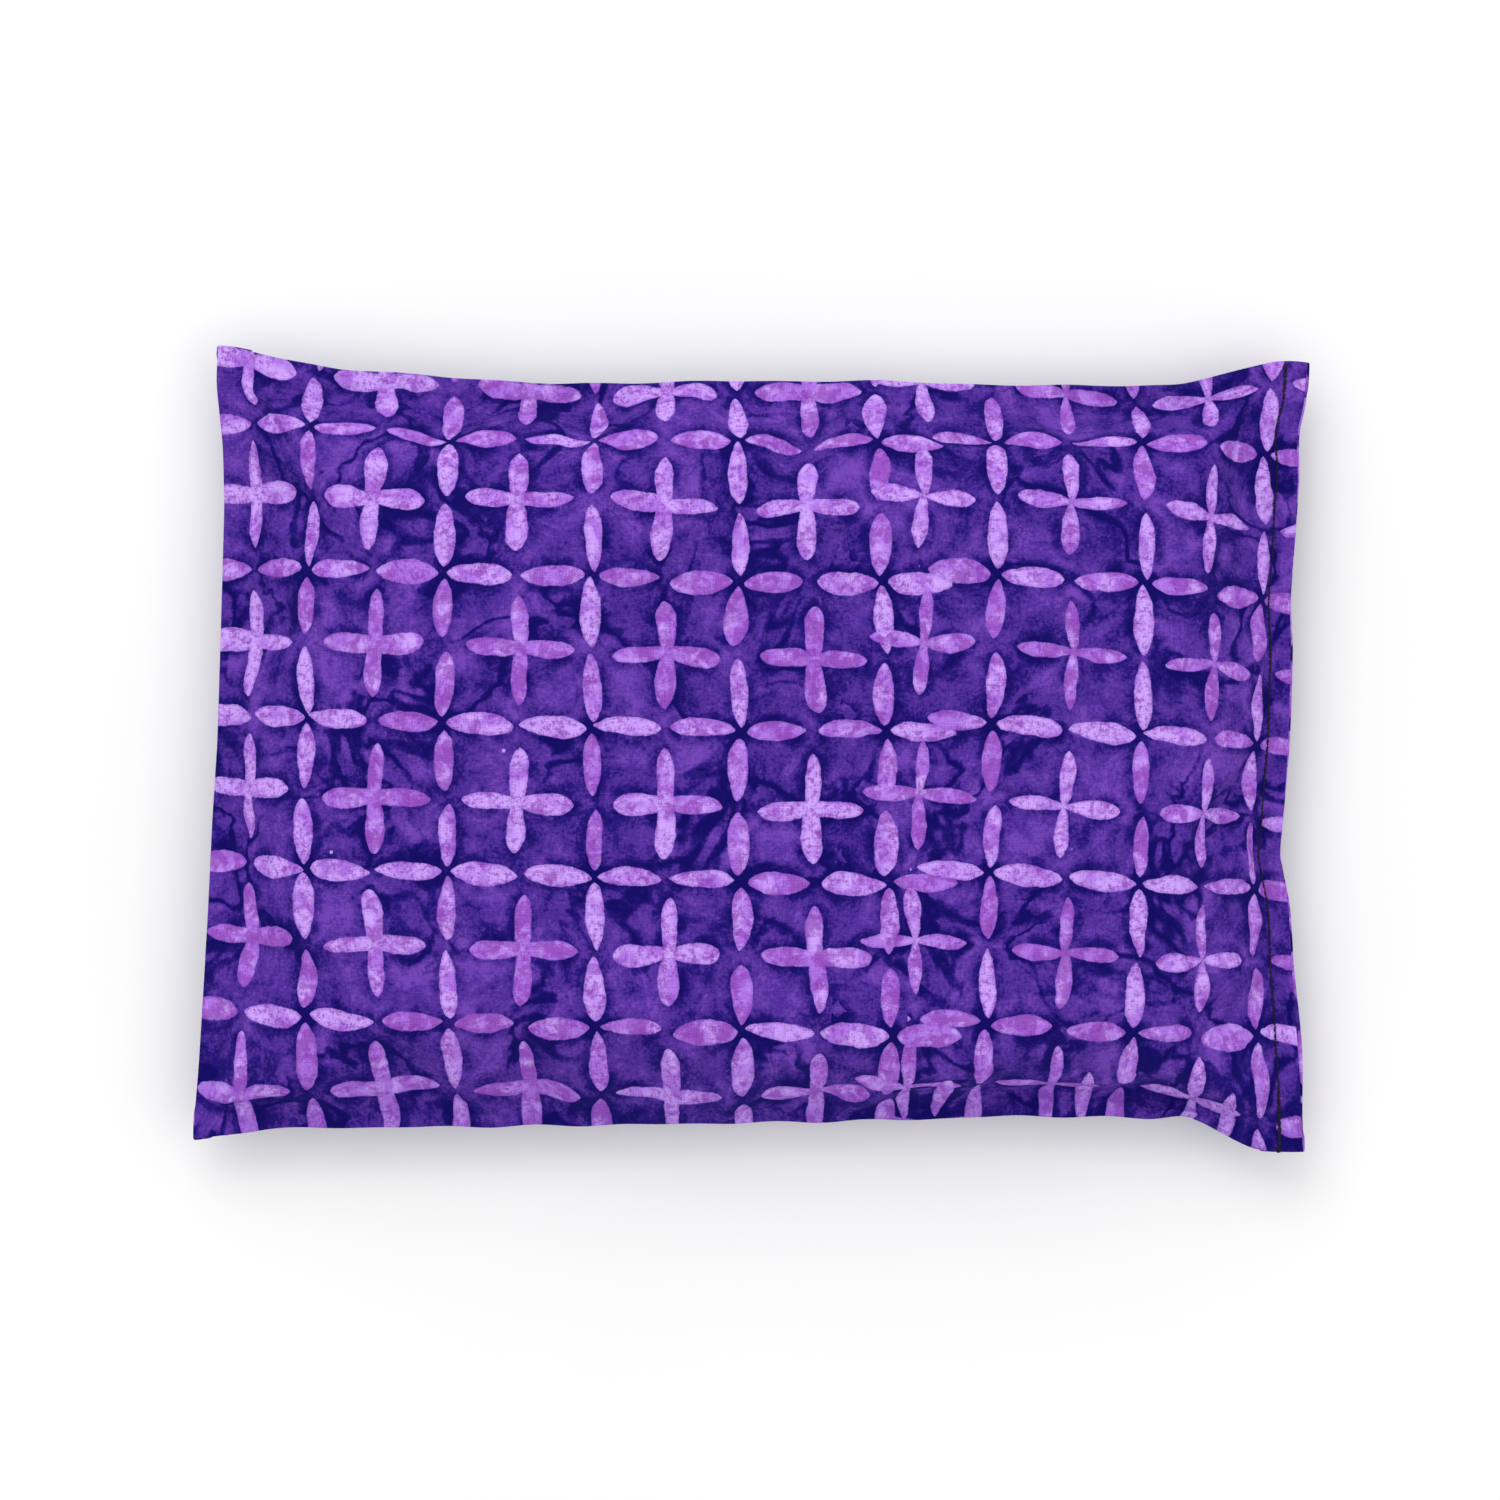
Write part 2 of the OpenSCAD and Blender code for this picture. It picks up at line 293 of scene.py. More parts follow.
def fill_the_cloth(sizes):
    """Sews two flat layers together, draws the seams in and lets the fill lift them."""
    scale = 10.0
    u, v, columns, stitch_u = cloth_grid(sizes)
    U, V = np.meshgrid(u, v, indexing="ij")
    shape = U.shape
    flat_x = U * sizes.flat_length / 2.0 + sizes.end_shift
    end_ease = 1.0 - 0.010 * np.abs(U) ** 6
    flat_y = V * sizes.flat_width / 2.0 * end_ease + sizes.print_shift
    sewn_x, sewn_y = plan(U, V)
    sewn = np.zeros(shape, bool)
    sewn[0] = sewn[:, 0] = sewn[:, -1] = True
    sewn[columns:] = True
    lifts = [
        sign * (1.5 + 0.4 * soft_noise(shape, 2.5, seed) + 0.3 * soft_noise(shape, 6.0, seed + 1)) * MM
        for sign, seed in ((1.0, 1), (-1.0, 3))
    ]
    front = np.zeros(shape, int)
    back = np.zeros(shape, int)
    start, drawn_in = [], []
    for i in range(shape[0]):
        for j in range(shape[1]):
            layers = (0.0,) if sewn[i, j] else [lift[i, j] for lift in lifts]
            front[i, j] = len(start)
            back[i, j] = len(start) + len(layers) - 1
            for z in layers:
                start.append((flat_x[i, j] * scale, flat_y[i, j] * scale, z * scale))
                drawn_in.append((sewn_x[i, j] * scale, sewn_y[i, j] * scale, 0.0))
    faces = []
    for i in range(shape[0] - 1):
        for j in range(shape[1] - 1):
            faces.append((front[i, j], front[i + 1, j], front[i + 1, j + 1], front[i, j + 1]))
            if i < columns:
                faces.append((back[i, j], back[i, j + 1], back[i + 1, j + 1], back[i + 1, j]))
    cloth = new_piece("sewn_cloth", start, faces)
    cloth.shape_key_add(name="Basis")
    key = cloth.shape_key_add(name="drawn_in")
    key.data.foreach_set("co", np.array(drawn_in, float).ravel())
    key.value = 0.0
    key.keyframe_insert("value", frame=1)
    key.value = 1.0
    key.keyframe_insert("value", frame=16)
    held = cloth.vertex_groups.new(name="seams")
    held.add(sorted(set(front[sewn].tolist())), 1.0, "REPLACE")
    hem = set(front[columns + 1:].ravel().tolist())
    blown = cloth.vertex_groups.new(name="filled")
    blown.add([i for i in range(len(start)) if i not in hem], 1.0, "REPLACE")
    ceiling = fill_surface("upper_seeds", 1, sizes.rise, stitch_u, 11, scale)
    ground = fill_surface("lower_seeds", -1, sizes.seam_height, stitch_u, 21, scale)
    only(cloth)
    drape = modify("CLOTH")
    give(
        drape.settings, vertex_group_mass="seams", pin_stiffness=50.0, quality=6, mass=0.05,
        tension_stiffness=40.0, compression_stiffness=40.0, shear_stiffness=5.0,
        bending_stiffness=3.0, tension_damping=5.0, compression_damping=5.0, shear_damping=5.0,
        bending_damping=0.5, use_pressure=True, uniform_pressure_force=1.6,
        vertex_group_pressure="filled",
    )
    drape.settings.effector_weights.gravity = 0.0
    give(
        drape.collision_settings, use_collision=True, distance_min=0.005, collision_quality=2,
        use_self_collision=False,
    )
    frames = 30
    scene = bpy.context.scene
    for timed in (drape.point_cache, scene):
        give(timed, frame_start=1, frame_end=frames + 1)
    for step in range(1, frames + 1):
        scene.frame_set(step)
    shaped = cloth.evaluated_get(bpy.context.evaluated_depsgraph_get()).data
    points = read(shaped.vertices, "co") / scale
    for helper in (cloth, ceiling, ground):
        bpy.data.objects.remove(helper, do_unlink=True)
    scene.frame_set(1)
    scene.frame_end = 1
    flat = np.stack([flat_x, flat_y], axis=-1)
    return tidy_layers(points[front], points[back], flat, sizes, columns)


def tidy_layers(upper, lower, flat, sizes, columns):
    """Lifts both layers onto the table's frame, flattens the underside and spaces them apart."""
    upper[..., 2] = np.maximum(upper[..., 2], 0.0)
    lower[..., 2] = np.minimum(lower[..., 2], 0.0)
    crease_room = 0.0006
    top = PANEL_TOP - sizes.seam_height - crease_room
    upper[..., 2] *= top / np.quantile(upper[..., 2], 0.999)
    upper[..., 2] = np.minimum(upper[..., 2], top)
    hem_start = np.zeros(upper.shape[0])
    hem_start[columns:] = 1.0
    hem_start[columns - 3:columns] = (0.25, 0.5, 0.8)
    spacing = (0.48 + 0.27 * hem_start)[:, None] * MM
    floor = sizes.seam_height
    lower[..., 2] *= (floor - sizes.cloth) / -np.quantile(lower[..., 2], 0.02)
    lower[..., 2] = np.maximum(lower[..., 2] - spacing, 0.05 * MM - floor)
    upper[..., 2] += spacing + floor
    lower[..., 2] += floor
    return {"upper": upper, "lower": lower, "flat": flat, "columns": columns}


SHAPE = {}


def shaped_layers(context):
    """The filled layers, worked out once and shared by every piece."""
    if not SHAPE:
        SHAPE.update(fill_the_cloth(context.scene.eye_pillow_sizes))
    return SHAPE


# ---------------------------------------------------------------- panels


def panel_points(layers, side, sizes):
    """The panel's grid with its turned-in edges added: points, flat places and grid size."""
    grid = layers["upper"] if side > 0 else layers["lower"]
    flat = layers["flat"]
    u, v, _, stitch_u = cloth_grid(sizes)
    seam_z = sizes.seam_height
    peep = np.zeros(len(v))
    if side < 0:
        peep = (0.35 + 0.75 * np.exp(-(((v + 0.74) / 0.14) ** 2)) + 0.2 * np.sin(v * 9.0)) * MM
        grid = grid.copy()
        reach = np.clip((u - stitch_u) / (1.0 - stitch_u), 0.0, 1.0)
        grid[..., 0] += reach[:, None] * peep[None, :]
    # The turned-in rows, each as millimetres in from the edge and share of the fold's height.
    sewn_steps = ((-0.12, 0.5), (0.3, 0.04), (3.0, 0.04), (sizes.allowance / MM, 0.04))
    fold_steps = ((-0.2, 0.5), (0.3, 0.04), (4.5, 0.04), (sizes.turned_in / MM, 0.04))
    low_steps = [(-1.0, *step) for step in reversed(sewn_steps)]
    rows_u = [*low_steps, *range(len(u)), *((1.0, *step) for step in fold_steps)]
    rows_v = [*low_steps, *range(len(v)), *((1.0, *step) for step in sewn_steps)]
    points, places = [], []
    for iu in rows_u:
        for iv in rows_v:
            if isinstance(iu, int) and isinstance(iv, int):
                points.append(grid[iu, iv])
                places.append(flat[iu, iv])
                continue
            own_u, past_u, share_u, near_u = turned(iu, u, sizes.flat_length / 2.0)
            own_v, past_v, share_v, near_v = turned(iv, v, sizes.flat_width / 2.0)
            edge = grid[near_u, near_v]
            near = np.array(plan(np.array(float(u[near_u])), np.array(float(v[near_v]))))
            here = np.array(plan(np.array(float(own_u)), np.array(float(own_v))))
            share = min(share_u, share_v)
            z = seam_z + (edge[2] - seam_z) * share
            if share < 0.3:
                z = seam_z + side * 0.04 * MM
            points.append(np.array([*(here + (edge[:2] - near)), z]))
            places.append(flat[near_u, near_v] + np.array([past_u, past_v]))
    return np.array(points), np.array(places), len(rows_u), len(rows_v)


def turned(index, values, half):
    """Of a row: its u or v, flat distance past the edge, share of the fold's height, nearest row."""
    if isinstance(index, int):
        return values[index], 0.0, 1.0, index
    sign, inward, share = index
    step = inward * MM / half
    past = abs(inward) * MM if inward > 0 else 0.15 * MM
    return sign * (1.0 - step), sign * past, share, 0 if sign < 0 else -1


def sew_panel(name, side, context):
    """Makes one panel: the filled layer, its turned-in edges, its fine creases and its thickness."""
    sizes = context.scene.eye_pillow_sizes
    layers = shaped_layers(context)
    points, places, count_u, count_v = panel_points(layers, side, sizes)
    panel = new_piece(name, points, grid_faces(count_u, count_v, flipped=side < 0))
    mesh = panel.data
    cloth_map = mesh.uv_layers.new(name="cloth")
    corner_vertex = np.empty(len(mesh.loops), int)
    mesh.loops.foreach_get("vertex_index", corner_vertex)
    even = -0.060  # below this the print is drawn out, as on the cloth's own lower side
    low = places[:, 1] < even
    places[low, 1] = even + (places[low, 1] - even) * 0.80
    cloth_map.data.foreach_set("uv", places[corner_vertex].ravel())
    finer = modify("SUBSURF", levels=1, render_levels=1, uv_smooth="PRESERVE_CORNERS")
    bpy.ops.object.modifier_apply(modifier=finer.name)
    crease_cloth(panel, side, sizes)
    wall = modify("SOLIDIFY", thickness=sizes.cloth, offset=-1.0)
    bpy.ops.object.modifier_apply(modifier=wall.name)
    bpy.ops.object.shade_smooth()
    return panel


def crease_cloth(panel, side, sizes):
    """Small creases and seed bumps, strongest where the cloth is full, none where it lies flat."""
    mesh = panel.data
    points = read(mesh.vertices, "co")
    normals = read(mesh.vertices, "normal")
    lift = np.clip(np.abs(points[:, 2] - sizes.seam_height) / FULL_LIFT, 0.0, 1.0)
    if side < 0:
        lift *= 0.35
    moves = np.zeros(len(points))
    for i, (x, y, z) in enumerate(points):
        wide = noise.noise(Vector((x * 62 + 3.1, y * 74 - 1.7, z * 60 + side)))
        small = noise.noise(Vector((x * 210 - 4.0, y * 230 + 2.0, z * 210 + side)))
        seed = noise.noise(Vector((x * 480 + 7.0, y * 480 - 5.0, z * 480)))
        moves[i] = 0.00070 * wide + 0.00022 * small + 0.00007 * seed
    points += normals * (moves * lift)[:, None]
    stitch_u = cloth_grid(sizes)[-1]
    down = np.linspace(-1.0, 1.0, 200)
    line_x, line_y = plan(np.full_like(down, stitch_u), down)
    away = np.abs(points[:, 0] - np.interp(points[:, 1], line_y, line_x))
    outer = np.abs(points[:, 2] - sizes.seam_height) > 0.35 * MM
    points[:, 2] -= side * outer * 0.20 * MM * np.exp(-((away / (0.9 * MM)) ** 2))
    points[:, 2] = np.clip(points[:, 2], TABLE_GAP, None)
    mesh.vertices.foreach_set("co", points.ravel())
    mesh.update()


# ---------------------------------------------------------------- threads


def smooth_path(points, step):
    """Points at even steps along a path."""
    points = np.array(points, float)
    lengths = run_along(points)
    places = np.linspace(0.0, lengths[-1], max(2, int(lengths[-1] / step)))
    return np.stack([np.interp(places, lengths, points[:, k]) for k in range(3)], axis=-1)


def thread_tube(path, radius, plies, twist, sides=5):
    """Vertices and faces of a thread of twisted plies that follows a path."""
    count = len(path)
    ahead = np.gradient(path, axis=0)
    ahead /= np.linalg.norm(ahead, axis=1)[:, None] + 1e-12
    side = np.cross(ahead, np.array([0.0, 0.0, 1.0]))
    weak = np.linalg.norm(side, axis=1) < 0.2
    side[weak] = np.cross(ahead[weak], np.array([1.0, 0.0, 0.0]))
    side /= np.linalg.norm(side, axis=1)[:, None] + 1e-12
    for k in range(1, count):
        if np.dot(side[k], side[k - 1]) < 0:
            side[k] = -side[k]
    up = np.cross(side, ahead)
    run = run_along(path)
    vertices, faces = [], []
    for ply in range(plies):
        angle = run / twist * 2 * math.pi + ply * 2 * math.pi / plies
        offset = radius * 0.48 if plies > 1 else 0.0
        ply_radius = radius * 0.56 if plies > 1 else radius
        centre = path + offset * (np.cos(angle)[:, None] * side + np.sin(angle)[:, None] * up)
        first = len(vertices)
        for k in range(count):
            for s in range(sides):
                turn = 2 * math.pi * s / sides
                out = math.cos(turn) * side[k] + math.sin(turn) * up[k]
                vertices.append(centre[k] + ply_radius * out)
        for k in range(count - 1):
            for s in range(sides):
                a = first + k * sides + s
                b = first + k * sides + (s + 1) % sides
                faces.append((a, b, b + sides, a + sides))
        faces.append(tuple(first + s for s in range(sides))[::-1])
        faces.append(tuple(first + (count - 1) * sides + s for s in range(sides)))
    return vertices, faces


def thread_piece(name, path, radius, plies, twist):
    """A thread as one closed mesh, its faces pointing outwards."""
    piece = new_piece(name, *thread_tube(path, radius, plies, twist))
    bpy.ops.object.mode_set(mode="EDIT")
    bpy.ops.mesh.select_all(action="SELECT")
    bpy.ops.mesh.normals_make_consistent(inside=False)
    bpy.ops.object.mode_set(mode="OBJECT")
    bpy.ops.object.shade_smooth()
    return piece


def closing_holes(sizes):
    """Needle holes of the closing row from its upper end, with the backstitching at both ends."""
    stitch_u = cloth_grid(sizes)[-1]
    down = np.linspace(0.992, -0.994, 900)
    x, y = plan(np.full_like(down, stitch_u), down)
    line = np.stack([x, y], axis=-1)
    lengths = run_along(line)
    total = lengths[-1]
    steps = int(round(total / sizes.stitch))
    start_back = int(round(0.007 / sizes.stitch))
    end_back = int(round(0.015 / sizes.stitch))
    order = [(k, -0.16) for k in range(start_back + 1)]
    order += [(k, 0.16) for k in range(start_back - 1, 0, -1)]
    order += [(k, 0.0) for k in range(0, steps + 1)]
    order += [(k, 0.18) for k in range(steps - 1, steps - end_back, -1)]
    order += [(k, -0.18) for k in range(steps - end_back + 1, steps + 1)]
    holes = []
    wobble = np.random.default_rng(5).normal(0.0, 0.05, len(order))
    for n, (k, aside) in enumerate(order):
        place = min(total, k * total / steps)
        hx = np.interp(place, lengths, line[:, 0])
        hy = np.interp(place, lengths, line[:, 1])
        sway = 0.12 * math.sin(hy * 95.0) + 0.08 * math.sin(hy * 310.0 + 1.0)
        holes.append((hx + (aside + wobble[n] + sway) * MM, hy))
    return holes


def closing_path(sizes, tree, side, seed):
    """A row of lockstitches lying on the hem: over the cloth, and down into each hole."""
    holes = closing_holes(sizes)
    path = []
    tight = np.random.default_rng(seed).uniform(0.85, 1.15, len(holes))
    for n in range(len(holes) - 1):
        start, end = holes[n], holes[n + 1]
        for k in range(9):
            t = k / 9.0
            x = start[0] + (end[0] - start[0]) * t
            y = start[1] + (end[1] - start[1]) * t
            above = Vector((x, y, sizes.seam_height + side * 0.02))
            spot = tree.ray_cast(above, Vector((0.0, 0.0, -side)))[0]
            level = spot.z if spot is not None else sizes.seam_height + side * 0.75 * MM
            bow = math.sin(math.pi * t) ** 0.55
            height = (-0.42 + (0.42 + 0.17 * tight[n]) * bow) * MM
            path.append((x, y, level + side * height))
    last = path[-1]
    centre = (last[0] - 0.1 * MM, last[1] - 0.55 * MM)
    if side > 0:
        knot_points = 33
        for k in range(1, knot_points + 1):
            turn = k / knot_points * 5.0 * math.pi
            wide = (0.42 - 0.16 * k / knot_points) * MM
            lift = (0.10 + 0.30 * math.sin(k * 0.8)) * MM
            x = centre[0] + wide * math.cos(turn)
            y = centre[1] + wide * math.sin(turn)
            path.append((x, y, last[2] + lift))
    return smooth_path(path, 0.00016)


def seam_path(sizes, side):
    """The hidden stitches round the three sewn edges, on the turned-in cloth inside the seam."""
    inset = 1.4 * MM
    start = 1.0 - 2 * 0.0008 / sizes.flat_length
    corner_u = -1.0 + inset * 2 / sizes.flat_length
    corner_v = 1.0 - inset * 2 / sizes.flat_width
    away = np.linspace(start, corner_u, 260)
    down = np.linspace(corner_v, -corner_v, 190)[1:]
    stops = [(a, corner_v) for a in away] + [(corner_u, b) for b in down]
    stops += [(a, -corner_v) for a in np.linspace(corner_u, start, 260)[1:]]
    x, y = plan(*np.array(stops).T)
    line = np.stack([x, y, np.zeros(len(x))], axis=-1)
    lengths = run_along(line)
    steps = int(round(lengths[-1] / sizes.seam_stitch))
    path = []
    for n in range(steps):
        for k in range(5):
            t = k / 5.0
            place = (n + t) * lengths[-1] / steps
            px = np.interp(place, lengths, line[:, 0])
            py = np.interp(place, lengths, line[:, 1])
            bow = math.sin(math.pi * t) ** 0.6
            path.append((px, py, sizes.seam_height + side * (0.02 + 0.20 * bow) * MM))
    return np.array(path)


# ---------------------------------------------------------------- fill


def start_shape(corners, radius):
    """A small ring with a face in it, in edit mode and selected, to be drawn up into a shape."""
    bpy.ops.object.select_all(action="DESELECT")
    bpy.ops.mesh.primitive_circle_add(
        vertices=corners, radius=radius, fill_type="NGON", location=(0, 0, -0.0021)
    )
    bpy.ops.object.mode_set(mode="EDIT")
    bpy.ops.mesh.select_all(action="SELECT")


def grow_profile(*rings):
    """Extrudes the selected cap upwards and resizes it, ring by ring: (rise, size)."""
    for rise, size in rings:
        bpy.ops.mesh.extrude_region_move(TRANSFORM_OT_translate={"value": (0, 0, rise)})
        bpy.ops.transform.resize(value=(size, size, 1.0))


def finish_shape(across=1.0):
    """Resizes the whole shape in y, points its faces outwards and leaves edit mode."""
    bpy.ops.mesh.select_all(action="SELECT")
    bpy.ops.transform.resize(value=(1.0, across, 1.0))
    bpy.ops.mesh.normals_make_consistent(inside=False)
    bpy.ops.object.mode_set(mode="OBJECT")
    bpy.ops.object.transform_apply(location=True, rotation=True, scale=True)
    return bpy.context.active_object


def model_seed():
    """One flax seed: a flat drop with a pointed end, modelled by extruding a small ring."""
    start_shape(7, 0.00045)
    grow_profile((0.0007, 2.0), (0.0014, 1.25), (0.0012, 0.72), (0.0007, 0.25))
    return finish_shape(0.45)


def model_bud():
    """One dried lavender bud: a ribbed cup, pinched at the stalk, with a small open mouth."""
    start_shape(12, 0.00022)
    grow_profile((0.0004, 1.6), (0.0008, 1.7), (0.0012, 1.12), (0.0010, 0.9), (0.0005, 0.85), (0.0003, 1.15))
    bpy.ops.mesh.inset(thickness=0.00012, depth=0.0)
    grow_profile((-0.0006, 0.6))
    bud = finish_shape()
    for vertex in bud.data.vertices:
        turn = math.atan2(vertex.co.y, vertex.co.x)
        rib = 1.0 + 0.09 * math.cos(turn * 6.0)
        vertex.co.x *= rib
        vertex.co.y *= rib
    return bud


def sunk_layer(grid, depth):
    """A layer moved square to itself by depth, after its sharpest folds are smoothed away."""
    smooth = grid.copy()
    for _ in range(24):
        inner = smooth[1:-1, 1:-1]
        round_it = (smooth[:-2, 1:-1] + smooth[2:, 1:-1] + smooth[1:-1, :-2] + smooth[1:-1, 2:]) / 4.0
        smooth[1:-1, 1:-1] = inner * 0.4 + round_it * 0.6
    across = np.gradient(smooth, axis=0)
    along = np.gradient(smooth, axis=1)
    normal = np.cross(across, along)
    normal /= np.linalg.norm(normal, axis=-1, keepdims=True) + 1e-12
    sunk = smooth + normal * depth
    sign = 1.0 if depth < 0 else -1.0
    share = np.clip(np.abs(smooth[..., 2:] - smooth[0, 0, 2]) / FULL_LIFT, 0.0, 1.0)
    sunk = smooth * (1 - share) + sunk * share
    sunk[..., 2] -= sign * 0.35 * MM
    return sunk


def fill_layers(layers, sizes):
    """The fill's own upper and lower surfaces, just inside the cloth."""
    columns = layers["columns"]
    inside = (slice(1, columns), slice(1, -1))
    upper = sunk_layer(layers["upper"][:columns + 1], -3.0 * MM)[inside]
    lower = sunk_layer(layers["lower"][:columns + 1], 1.6 * MM)[inside]
    for layer in (upper, lower):
        layer[..., :2] *= 0.975
    seam = sizes.seam_height
    upper[..., 2] = seam + np.maximum((upper[..., 2] - seam) * 0.96 - 0.8 * MM, 0.05 * MM)
    lower[..., 2] = seam - np.maximum((seam - lower[..., 2]) * 0.92 - 1.8 * MM, 0.05 * MM)
    return upper, lower


def pour_seeds(sizes, layers):
    """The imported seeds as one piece: a lumpy heap that fills the cloth, and loose seeds on it."""
    upper, lower = fill_layers(layers, sizes)
    rows, cols = upper.shape[:2]
    points = [*upper.reshape(-1, 3), *lower.reshape(-1, 3)]
    under = rows * cols
    faces = grid_faces(rows, cols) + grid_faces(rows, cols, under, flipped=True)
    rim = [(i, 0) for i in range(rows)] + [(rows - 1, j) for j in range(1, cols)]
    rim += [(i, cols - 1) for i in range(rows - 2, -1, -1)] + [(0, j) for j in range(cols - 2, 0, -1)]
    for n, (i, j) in enumerate(rim):
        k, m = rim[(n + 1) % len(rim)]
        a, b = i * cols + j, k * cols + m
        faces.append((a, under + a, under + b, b))
    seed = model_seed()
    shape = np.array([v.co[:] for v in seed.data.vertices])
    seed_faces = [tuple(p.vertices) for p in seed.data.polygons]
    bpy.data.objects.remove(seed, do_unlink=True)
    rng = np.random.default_rng(31)
    for _ in range(sizes.seeds):
        i, j = int(rng.integers(5, rows - 5)), int(rng.integers(5, cols - 5))
        top = rng.random() < 0.6
        grid = upper if top else lower
        spot = grid[i, j] + np.array([rng.uniform(-1, 1) * MM, rng.uniform(-1, 1) * MM, 0.0])
        spot[2] += (-0.5 if top else 0.5) * MM
        across = grid[i + 1, j] - grid[i - 1, j]
        along = grid[i, j + 1] - grid[i, j - 1]
        normal = Vector(np.cross(across, along)).normalized()
        turn = Matrix.Rotation(rng.uniform(0, 2 * math.pi), 3, normal)
        lean = Matrix.Rotation(rng.uniform(-0.25, 0.25), 3, Vector((1, 0, 0)))
        pole = Vector(across).normalized()
        side = normal.cross(pole).normalized()
        basis = Matrix((side, normal, pole)).transposed()
        place = np.array(turn @ basis @ lean)
        base = len(points)
        size = rng.uniform(0.85, 1.1)
        points.extend(shape @ place.T * size + spot)
        faces += [tuple(base + k for k in face) for face in seed_faces]
    fill = new_piece("flaxseed_fill_seeds", points, faces)
    bpy.ops.object.shade_smooth()
    return fill


def scatter_buds(sizes, layers):
    """Copies of the bud laid among the seeds, joined into one piece."""
    upper, lower = fill_layers(layers, sizes)
    rows, cols = upper.shape[:2]
    master = model_bud()
    rng = np.random.default_rng(43)
    copies = []
    for _ in range(sizes.buds):
        i = int(rng.integers(14, rows - 14))
        j = int(rng.integers(12, cols - 12))
        depth = rng.uniform(0.08, 0.92)
        spot = upper[i, j] * (1 - depth) + lower[i, j] * depth
        only(master)
        bpy.ops.object.duplicate()
        bud = bpy.context.active_object
        bud.location = tuple(spot)
        bud.rotation_euler = tuple(rng.uniform(0, 2 * math.pi, 3))
        bpy.ops.object.transform_apply(location=True, rotation=True, scale=True)
        copies.append(bud)
    bpy.data.objects.remove(master, do_unlink=True)
    bpy.ops.object.select_all(action="DESELECT")
    for bud in copies:
        bud.select_set(True)
    bpy.context.view_layer.objects.active = copies[0]
    bpy.ops.object.join()
    buds = bpy.context.active_object
    bpy.ops.object.shade_smooth()
    buds.name = "lavender_bud_scatter"
    return buds


# ---------------------------------------------------------------- shader nodes


def operator(kind, swapped=False):
    """A Python operator of Value that places a Math node of this kind."""

    def place_node(self, *other):
        values = (*other, self) if swapped else (self, *other)
        return self.sheet.sum(kind, *values)

    return place_node


class Value:
    """What comes out of a node. Doing sums with it places Math nodes on its sheet."""

    def __init__(self, sheet, socket):
        self.sheet = sheet
        self.socket = socket

    __add__ = __radd__ = operator("ADD")
    __sub__ = operator("SUBTRACT")
    __rsub__ = operator("SUBTRACT", swapped=True)
    __mul__ = __rmul__ = operator("MULTIPLY")
    __truediv__ = operator("DIVIDE")
    __pow__ = operator("POWER")
    __abs__ = operator("ABSOLUTE")
    __lt__ = operator("LESS_THAN")
    __gt__ = operator("GREATER_THAN")


VECTOR = "NodeSocketVector"
COLOUR = "NodeSocketColor"
NUMBER = "NodeSocketFloat"
STAMP = {"Shape": NUMBER, "Petal": NUMBER, "Crossing": NUMBER}
FAR = 60.0  # in millimetres, out of reach of any petal or pool of dye


